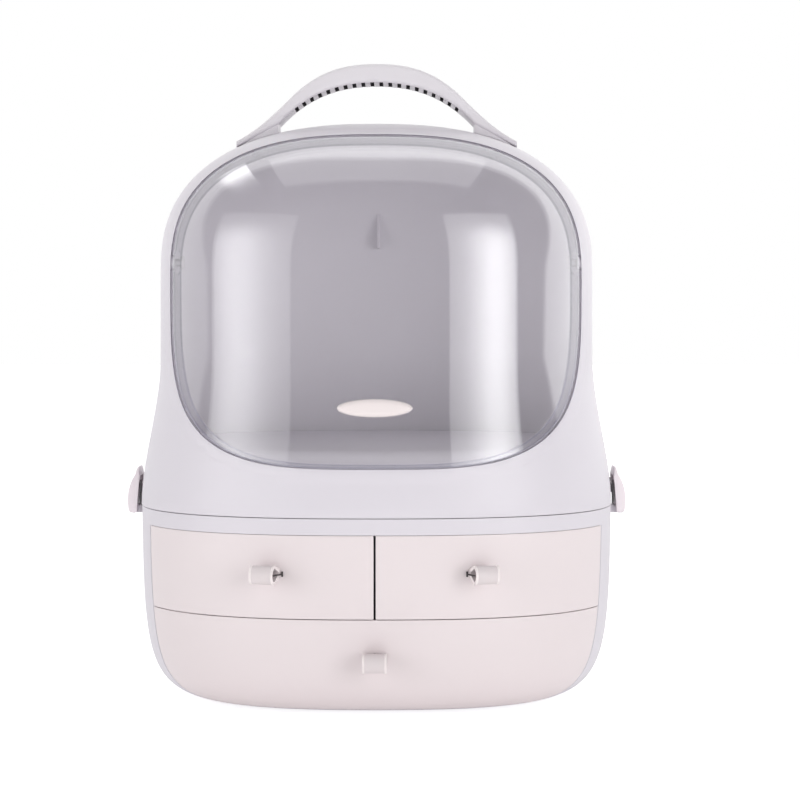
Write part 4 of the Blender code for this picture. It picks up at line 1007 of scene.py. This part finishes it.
def visor_ring(line, share, inset):
    """Ring of the visor at a share of the way from its middle to a line, on the form drawn in by an inset."""
    ring = []
    for point in line:
        x, z = middle + (np.array(point) - middle) * share
        ring.append(work.verts.new((x, hood_front(x, z, inset), z)))
    return ring


shares = [math.sin(math.pi / 2 * (k + 1) / 34) for k in range(34)]
rows = [visor_ring(outline, share * 0.996, 0) for share in shares]
rows.append(visor_ring(outline, 0.9993, 0.0002))
rows.append(visor_ring(outline, 1.0, 0.0006))
rows.append(visor_ring(outline, 1.0, BORDER_WALL - 0.0004))
for share in (0.04, 0.20, 0.30, 0.72, 0.80, 0.97):
    between = [(a[0] + (b[0] - a[0]) * share, a[1] + (b[1] - a[1]) * share)
               for a, b in zip(outline, inner_line)]
    rows.append(visor_ring(between, 1.0, BORDER_WALL))
rows.append(visor_ring(inner_line, 1.0, BORDER_WALL - 0.0004))
rows.append(visor_ring(inner_line, 0.996, VISOR_WALL + 0.0002))
inner_rows = [visor_ring(inner_line, share * 0.990, VISOR_WALL) for share in shares[::-1]]
rows += inner_rows
# The outer edge wall and the inner step of the border take the rim finish: painted shade and refraction lines.
shade_bands = range(len(shares), len(shares) + 4), range(len(shares) + 7, len(shares) + 10)
for index, (lower, upper) in enumerate(zip(rows, rows[1:])):
    for k in range(len(lower)):
        after = (k + 1) % len(lower)
        face = work.faces.new((lower[k], lower[after], upper[after], upper[k]))
        if len(shares) - 1 <= index < len(shares) + 10:
            face.material_index = 2 if index in shade_bands[0] or index in shade_bands[1] else 1
for ring, inset in ((rows[0], 0), (rows[-1], VISOR_WALL)):
    centre = work.verts.new((0, hood_front(0, OPENING_MIDDLE, inset), OPENING_MIDDLE))
    for k in range(len(ring)):
        work.faces.new((ring[k], ring[(k + 1) % len(ring)], centre))
visor = place_mesh("smoke_visor", work, smoke_clear)
visor.data.materials.append(smoke_edge)
visor.data.materials.append(smoke_rim_shade)
ears = []
notches = []
for side in (-1, 1):
    pivot = (side * EAR_FACE, -PIVOT_BACK, PIVOT_HEIGHT)
    ears.append(round_rings(pivot, (side, 0, 0), ((-EAR_WALL, EAR_RADIUS), (0.0003, EAR_RADIUS)), 40))
    notches.append(round_rings(pivot, (side, 0, 0), ((0, 0.0053), (0.02, 0.0053)), 40))
bores = [rod_rings((side * EAR_FACE, -PIVOT_BACK, PIVOT_HEIGHT), (side, 0, 0), -FAR, FAR, 0.0024, 40)
         for side in (-1, 1)]
carve(visor, "UNION", solids("ears", ears, smoke_edge))
carve(visor, "DIFFERENCE", solids("notches", notches, smoke_edge))
carve(visor, "DIFFERENCE", solids("bores", bores, smoke_edge))
for step in visor.modifiers:
    step.object.hide_render = True
    step.material_mode = "TRANSFER"
settle(visor, 0.0, 30)
fit(visor, "visor", "smoke_clear", "visor_shell")

for side, name in ((-1, "left"), (1, "right")):
    head = -0.0004 - EAR_WALL - 0.0003
    pin = skin("pivot_pin_" + name, round_rings((side * PIVOT_FACE, -PIVOT_BACK, PIVOT_HEIGHT), (side, 0, 0), (
        (head - 0.0018, 0.0030), (head - 0.0014, 0.0037), (head - 0.0008, 0.0040), (head, 0.0040),
        (head, PIN_RADIUS), (0.0021, PIN_RADIUS)), 40), handle_white)
    fit(settle(pin), "case", "handle", "visor_pin_" + name)


# Visor tab
# An oval finger tab in smooth, warm white plastic, bonded to the front of the visor with a softly rounded rim.

TAB_HALF_WIDTH = 0.0208
TAB_HALF_HEIGHT = 0.0050
TAB_REACH = 0.0060
TAB_HEIGHT = 0.174

TAB_WHITE = (0.82, 0.745, 0.742)

tab_white = moulded_plastic("tab_plastic", TAB_WHITE, 0.24, 2600.0, 0.000002, 0.012)

face = hood_sizes(TAB_HEIGHT, 0)[1]
tab_rings = []
for k in range(15):
    angle = math.pi / 2 * k / 14
    out = TAB_REACH - 0.0030 * (1 - math.sin(math.pi / 2 - angle))
    share = 0.30 + 0.70 * math.sin(angle) ** 0.75
    ring = []
    for step in range(96):
        turn = 2 * math.pi * step / 96
        x = (TAB_HALF_WIDTH - TAB_HALF_HEIGHT * (1 - share)) * math.cos(turn)
        z = TAB_HEIGHT + TAB_HALF_HEIGHT * share * math.sin(turn)
        ring.append((x, -face - out, z))
    tab_rings.append(ring)
tab_rings.append([(x, -face + TAB_REACH, z) for x, y, z in tab_rings[-1]])
tab = skin("oval_tab", tab_rings, tab_white)
carve(tab, "DIFFERENCE", skin("tab_seat", hood_rings(-0.0003, FLARE_FOOT, 144)))
fit(settle(tab, 0.0, 50), "visor", "tab", "visor_tab")


# Side latches
# A lens-shaped snap plate on each side in pale plastic, hinged on the base by a pin through its foot. A hook on
# its inner face catches under the hood's keeper, and two buffers in the dark rubber stand behind it, painted
# shade that makes the gap between plate and shell read dark.

LATCH_WHITE = (0.90, 0.825, 0.86)
LATCH_INNER_X = 0.1405
BUFFER = 0.0009
LATCH_THICKNESS = 0.00745
LATCH_BOTTOM = 0.1069
LATCH_TOP = 0.1343
LATCH_HALF_WIDTH = 0.0125
LATCH_EYE = 0.0024
HOOK_BOTTOM = 0.1226

latch_white = moulded_plastic("latch_plastic", LATCH_WHITE, 0.36, 2300.0, 0.0000055)


def latch_profile():
    """Side view of a latch plate in (outwards, up): an eye below and a lens above."""
    profile = []
    for k in range(21):
        angle = math.pi + math.pi * k / 20
        profile.append((LATCH_PIVOT_X + LATCH_EYE * math.cos(angle),
                        LATCH_PIVOT_Z + LATCH_EYE * math.sin(angle)))
    rise = LATCH_TOP - LATCH_PIVOT_Z
    outer = LATCH_INNER_X + LATCH_THICKNESS
    shoulder = (LATCH_INNER_X + 0.0026, LATCH_TOP - 0.0042)
    profile += bezier((LATCH_PIVOT_X + LATCH_EYE, LATCH_PIVOT_Z), (outer - 0.0002, LATCH_PIVOT_Z + rise * 0.22),
                      (outer - 0.0002, LATCH_PIVOT_Z + rise * 0.56), shoulder, 30)[1:]
    profile += bezier(shoulder, (shoulder[0] - 0.0005, shoulder[1] + 0.0013),
                      (LATCH_INNER_X + 0.0018, LATCH_TOP - 0.0012),
                      (LATCH_INNER_X + 0.0016, LATCH_TOP), 10)[1:]
    profile.append((LATCH_INNER_X + 0.0009, LATCH_TOP))
    profile.append((LATCH_INNER_X + 0.0003, LATCH_TOP - 0.0042))
    profile.append((LATCH_INNER_X, LATCH_TOP - 0.0052))
    return profile


for side, name in ((-1, "left"), (1, "right")):
    profile = [(side * x, z) for x, z in latch_profile()]
    plate_rings = [[(x, y, z) for x, z in profile] for y in (-LATCH_HALF_WIDTH, LATCH_HALF_WIDTH)]
    plate = skin("snap_latch_" + name, plate_rings, latch_white)
    level = (LATCH_TOP + LATCH_BOTTOM) / 2
    oval = []
    for k in range(72):
        angle = 2 * math.pi * k / 72
        oval.append((LATCH_HALF_WIDTH * signed_power(math.cos(angle), 0.5),
                     level + (LATCH_TOP - level + 0.0003) * signed_power(math.sin(angle), 0.5)))
    outline_rings = [[(x, y, z) for y, z in oval] for x in (side * 0.139, side * 0.166)]
    carve(plate, "INTERSECT", skin("latch_outline", outline_rings))
    carve(plate, "DIFFERENCE", skin("latch_slot", block_rings(
        (side * 0.139, -0.0065, LATCH_BOTTOM - 0.02), (side * 0.166, 0.0065, LATCH_PIVOT_Z + 0.0035))))
    carve(plate, "DIFFERENCE", skin("latch_recess", block_rings(
        (side * 0.138, -0.0072, LATCH_BOTTOM - 0.001), (side * 0.1420, 0.0072, LATCH_TOP - 0.0052))))
    carve(plate, "UNION", skin("latch_hook", block_rings(
        (side * 0.1396, -0.006, HOOK_BOTTOM), (side * 0.1451, 0.006, HOOK_BOTTOM + 0.0020))))
    carve(plate, "DIFFERENCE", skin("latch_bore", round_rings(
        (side * LATCH_PIVOT_X, 0, LATCH_PIVOT_Z), (0, 1, 0), ((-0.0095, 0.0013), (0.0095, 0.0013)), 24)))
    settle(plate, 0.0005, 40, 3)
    fit(plate, "latch_" + name, "latch", "latch_plate_" + name)
    # The dark rubber buffers are painted shade for the gap between the plate and the shell.
    buffers = [block_rings((side * (LATCH_INNER_X - BUFFER), y - 0.0014, LATCH_PIVOT_Z + 0.0032),
                           (side * (LATCH_INNER_X - 0.00005), y + 0.0014, LATCH_TOP - 0.0075))
               for y in (-0.0088, 0.0088)]
    pads = settle(solids("latch_buffers_" + name, buffers, rubber), 0.0003)
    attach(pads, "latch_" + name)
    pin = skin("latch_axle_" + name, round_rings((side * LATCH_PIVOT_X, 0, LATCH_PIVOT_Z), (0, 1, 0), (
        (-0.0092, 0.0007), (-0.0089, LATCH_PIN_RADIUS),
        (0.0089, LATCH_PIN_RADIUS), (0.0092, 0.0007)), 28), dark_steel)
    fit(settle(pin), "latch_" + name, "steel", "latch_pin_" + name)


# Floor and light
# A plain white sweep and two tall soft boxes, one to each side of the camera, with a wide soft light overhead
# and a smaller soft box high on the left.

FLOOR_WHITE = (0.90, 0.90, 0.90)
ROOM_LIGHT = 0.29
SWEEP_LIGHT = 0.92
SIDE_LEAN = 0.25
SIDE_REACH = 0.28
HIGH_SETBACK = 0.60
MIRROR_GAIN = 0.55

sweep_finish = Finish("white_sweep", {"Roughness": 0.9})
sweep_grain = sweep_finish.noise(sweep_finish.place, 6.0)
sweep_shade = sweep_finish.blend(sweep_grain, tinted(FLOOR_WHITE, 0.995), tinted(FLOOR_WHITE, 1.0))
sweep_finish.drive("Base Color", sweep_shade)
path = sweep_finish.add("ShaderNodeLightPath", output="Is Camera Ray")
glow = sweep_finish.add("ShaderNodeEmission", {}, {"Color": (1, 1, 1, 1), "Strength": path * 0.46 + 0.20})
unlit = Wire(sweep_finish, sweep_finish.shader.outputs[0])
lit = sweep_finish.add("ShaderNodeAddShader", {}, {0: unlit, 1: glow})
sweep_finish.feed(sweep_finish.surface, lit)

floor_work = bmesh.new()
bmesh.ops.create_grid(floor_work, x_segments=8, y_segments=8, size=6.0)
floor = place_mesh("floor_sweep", floor_work, sweep_finish.material)

world = bpy.data.worlds.new("studio")
bpy.context.scene.world = world
world.use_nodes = True
sky = Board(world.node_tree)
way = sky.add("ShaderNodeTexCoord", output="Generated")
way_parts = sky.add("ShaderNodeSeparateXYZ", {}, {0: way}).socket.node
lift = Wire(sky, way_parts.outputs["Z"])
behind = (1 - lift**2) ** 0.5 * (SIDE_REACH - lift * HIGH_SETBACK) + Wire(sky, way_parts.outputs["Y"])
bright = sky.add("ShaderNodeMapRange", {"interpolation_type": "SMOOTHSTEP"}, {
    "Value": behind, "From Min": -0.03, "From Max": 0.03, "To Min": ROOM_LIGHT,
    "To Max": Wire(sky, way_parts.outputs["X"]) * SIDE_LEAN + SWEEP_LIGHT})
seen = sky.add("ShaderNodeLightPath", output="Is Camera Ray")
mirrored = Wire(sky, seen.socket.node.outputs["Is Glossy Ray"])
background = world.node_tree.nodes["Background"]
background.inputs["Color"].default_value = (1, 1, 1, 1)
around = bright * (mirrored * MIRROR_GAIN + 1)
sky.feed(background.inputs["Strength"], seen * (1 - around) + around)


def soft_box(name, azimuth, elevation, distance, width, height, radiance, aim, edge=0.18, middle=(0.5, 0.5)):
    """Rectangular soft light that faces a point, brightest at its middle."""
    data = bpy.data.lights.new(name, "AREA")
    data.shape = "RECTANGLE"
    data.size = width
    data.size_y = height
    data.energy = radiance * math.pi * width * height
    data.use_nodes = True
    board = Board(data.node_tree)
    spot = board.add("ShaderNodeNewGeometry", output="Parametric")
    parts = board.add("ShaderNodeSeparateXYZ", {}, {0: spot}).socket.node
    across = (Wire(board, parts.outputs["X"]) - middle[0]) * 2
    upright = (Wire(board, parts.outputs["Y"]) - middle[1]) * 2
    fall = board.add("ShaderNodeMath", {"operation": "EXPONENT"}, {0: across**2 * -1.8 - upright**4 * 6.5})
    emission = data.node_tree.nodes["Emission"]
    board.feed(emission.inputs["Strength"], fall * (1 - edge) + edge)
    lamp = bpy.data.objects.new(name, data)
    bpy.context.scene.collection.objects.link(lamp)
    turn = math.radians(azimuth)
    lift = math.radians(elevation)
    away = Vector((math.sin(turn) * math.cos(lift), -math.cos(turn) * math.cos(lift), math.sin(lift)))
    lamp.location = Vector(aim) + away * distance
    lamp.rotation_euler = away.to_track_quat("Z", "Y").to_euler()
    return lamp


soft_box("soft_box_left", -45, 3.5, 1.20, 0.98, 1.30, 2.8, (0, 0, 0.22), middle=(0.40, 0.5))
soft_box("soft_box_right", 34, 3.5, 1.20, 0.70, 1.30, 4.7, (0, 0, 0.22), middle=(0.62, 0.5))
soft_box("soft_box_top", 0, 82, 1.6, 1.4, 1.2, 0.6, (0, 0, 0.2), 1.0)
soft_box("soft_box_high", -93, 45, 1.3, 0.86, 0.60, 2.3, (0, 0, 0.25), 0.0, middle=(0.32, 0.85))


# Camera
# A long lens a little above the middle of the case, level and square to its front.

camera_data = bpy.data.cameras.new("view")
camera_data.lens = 90.3
camera_data.sensor_width = 36.0
camera_data.shift_x = -0.0025
camera_data.shift_y = -0.125
camera_data.clip_end = 30.0
camera = bpy.data.objects.new("view", camera_data)
bpy.context.scene.collection.objects.link(camera)
camera.location = (0.015, -1.2, 0.2335)
camera.rotation_euler = (math.pi / 2, 0, 0)
bpy.context.scene.camera = camera
bpy.context.scene.view_settings.view_transform = "Standard"
